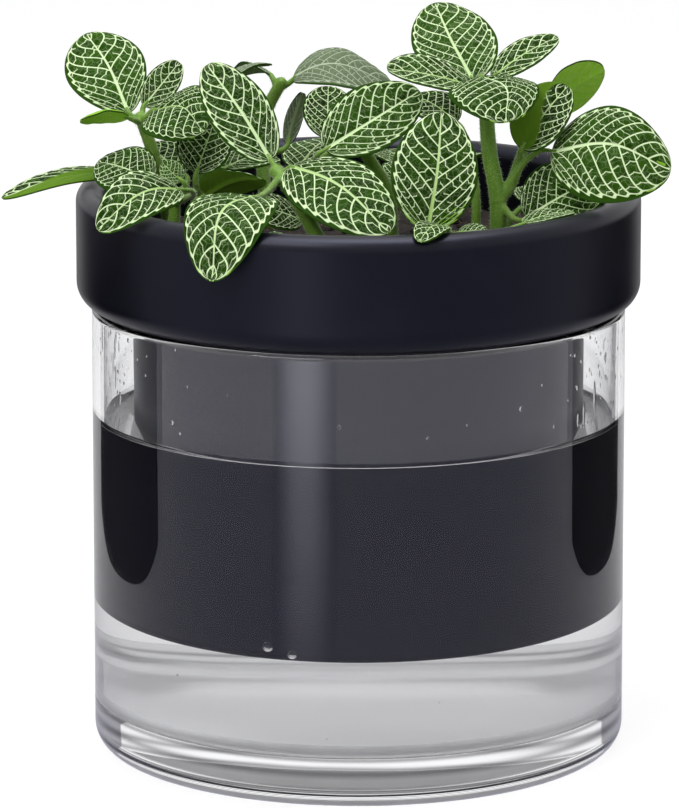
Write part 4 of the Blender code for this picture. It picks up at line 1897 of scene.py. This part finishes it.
@dataclass
class Studio:
    """The white studio: the camera, the floor, two soft lamps, and cards that show only in gloss and glass.

    A black card stands at each side, one glows overhead, and a light streak lies on the floor.
    """

    eye: Place = (0.0, -1.6, 0.4447)
    aim: Place = (0.0, 0.0, 0.08669)
    lens: float = 292.8
    shift: float = -19 / 808
    backdrop: float = 1.0
    gloss: float = 1.05
    fill: float = 0.55
    floor_size: float = 8.0
    floor_gap: float = 0.1 * MM
    jar_radius: float = GlassJar.radius
    streak_turn: float = -11.6
    streak_spread: float = 7.0
    streak_start: float = 0.09
    streak_length: float = 0.9
    streak_lift: float = 1.0 * MM
    card_rounding: float = 9 * MM
    overhead: float = 0.5
    overhead_glow: Colour = (9.0, 9.0, 9.8)
    lit_height: float = 0.12

    def camera(self) -> None:
        """Make the camera."""
        data = bpy.data.cameras.new("camera")
        data.lens = self.lens
        data.shift_x = self.shift
        data.clip_start = 0.1
        data.clip_end = 20.0
        bpy.context.scene.camera = self.aimed("camera", data, self.eye, self.aim)

    def aimed(self, name: str, data: bpy.types.ID, eye: Place, aim: Place) -> bpy.types.Object:
        """Put a camera or a lamp at a place, looking at another.

        Args:
            name: Its name.
            data: The camera or the lamp.
            eye: Where it is.
            aim: What it looks at.

        Returns:
            The object.
        """
        item = link(name, data)
        item.location = eye
        item.rotation_euler = (Vector(aim) - Vector(eye)).to_track_quat("-Z", "Y").to_euler()
        return item

    def world(self) -> None:
        """Make the surroundings: white where they are seen, softer where they light."""
        scene = bpy.context.scene
        scene.view_settings.view_transform = "Standard"
        world = bpy.data.worlds.new("studio")
        world.use_nodes = True
        scene.world = world
        graph = Graph(world.node_tree)
        through = graph.ray("Is Transmission Ray")
        gloss = graph.ray("Is Glossy Ray") * (1.0 - through)
        white = (graph.ray("Is Camera Ray") + through) * (self.backdrop - self.fill)
        background = world.node_tree.nodes["Background"]
        graph.feed(background.inputs["Strength"], self.fill + white + gloss * (self.gloss - self.fill))
        graph.feed(background.inputs["Color"], (1.0, 1.0, 1.0))

    def card(self, name: str, centre: Place, width: float, height: float, finish: bpy.types.Material) -> None:
        """Hang a card that faces the axis, or down from above it, and shows only in gloss and glass.

        Args:
            name: Its name.
            centre: Its middle.
            width: Its width.
            height: Its height.
            finish: Its material.
        """
        bm = bmesh.new()
        outward = Vector((centre[0], centre[1], 0)) if centre[2] < self.overhead else Vector((0, 0, 1))
        upright = outward.to_track_quat("Z", "Y").to_matrix().to_4x4()
        bmesh.ops.create_grid(bm, x_segments=32, y_segments=1, size=1.0)
        for vert in bm.verts:
            rounding = self.card_rounding * abs(vert.co.x) ** 4 * (1 - vert.co.y) / 2
            vert.co = (vert.co.x * width / 2, vert.co.y * height / 2 + rounding, 0)
        bmesh.ops.transform(bm, matrix=Matrix.Translation(centre) @ upright, verts=bm.verts)
        self.stand(name, bm, finish, hidden=True)

    def streak(self, name: str, finish: bpy.types.Material) -> None:
        """Lay a long light streak on the floor at the front left, which shows only in gloss and glass.

        Args:
            name: Its name.
            finish: Its material.
        """
        bm = bmesh.new()
        bmesh.ops.create_grid(bm, x_segments=8, y_segments=8, size=1.0)
        across = bm.verts.layers.float_vector.new("across")
        for vert in bm.verts:
            vert[across] = (vert.co.x, (vert.co.y + 1) / 2, 0.0)
            turn = math.radians(self.streak_turn + self.streak_spread * vert.co.x)
            reach = self.streak_start + self.streak_length / 2 * (vert.co.y + 1)
            start = Vector((math.sin(turn), -math.cos(turn), 0)) * self.jar_radius
            heading = Vector((math.sin(2 * turn), -math.cos(2 * turn), 0))
            vert.co = start + heading * reach + Vector((0, 0, self.streak_lift))
        self.stand(name, bm, finish, hidden=True)

    def stand(
        self, name: str, bm: bmesh.types.BMesh, finish: bpy.types.Material, hidden: bool = False
    ) -> None:
        """Put a shape in the scene as part of the studio.

        Args:
            name: Its name.
            bm: The shape, which is used up.
            finish: Its material.
            hidden: Whether it shows only in gloss and glass.
        """
        item = link(name, meshed(name, bm, finish))
        item.visible_camera = not hidden
        item.visible_diffuse = not hidden
        item.visible_shadow = not hidden

    def lamp(self, name: str, place: Place, size: float, power: float) -> None:
        """Hang a soft square lamp that is aimed at the planter and isn't seen itself.

        Args:
            name: Its name.
            place: Where it hangs.
            size: Its side.
            power: Its power in watts.
        """
        data = bpy.data.lights.new(name, "AREA")
        data.shape = "SQUARE"
        data.size = size
        data.energy = power
        self.aimed(name, data, place, (0.0, 0.0, self.lit_height)).visible_camera = False

    def build(self) -> None:
        """Set up everything round the planter."""
        self.camera()
        self.world()
        bm = bmesh.new()
        bmesh.ops.create_grid(bm, x_segments=1, y_segments=1, size=self.floor_size / 2)
        bmesh.ops.translate(bm, verts=bm.verts, vec=(0, 0, -self.floor_gap))
        self.stand("floor", bm, StudioPaper().material("studio_paper"))
        black = StudioCard(in_glass=(0.32, 0.32, 0.34)).material("black_card")
        self.card("card_left", (-0.2214, 0.0824, 0.06), 0.218, 0.12, black)
        self.card("card_right", (0.2154, 0.105, 0.06), 0.198, 0.12, black)
        glow = self.overhead_glow
        above = StudioCard(near=glow, far=glow, sides=glow, in_glass=(3.0, 3.0, 3.0))
        self.card("card_above", (0.0, -0.12, 0.9), 0.7, 0.4, above.material("overhead_glow"))
        streak = StudioCard(
            near=(0.56, 0.56, 0.75), far=(5.4, 5.4, 6.2), sides=(0.42, 0.42, 0.6), in_glass=(0.95, 0.95, 0.98)
        )
        self.streak("floor_streak", streak.material("streak_glow"))
        self.lamp("key", (-0.5, -0.7, 1.1), 0.6, 8.0)
        self.lamp("top", (0.1, 0.15, 1.2), 0.7, 5.0)


def main() -> None:
    """Build the planter piece by piece, and the studio round it."""
    logging.basicConfig(level=logging.INFO, format="%(message)s")
    Studio().build()
    GlassJar().build()
    WaterFill().build()
    ClayPot().build()
    SoilFill().build()
    Condensation().build()
    Bubbles().build()
    NervePlant().build()


if __name__ == "__main__":
    main()
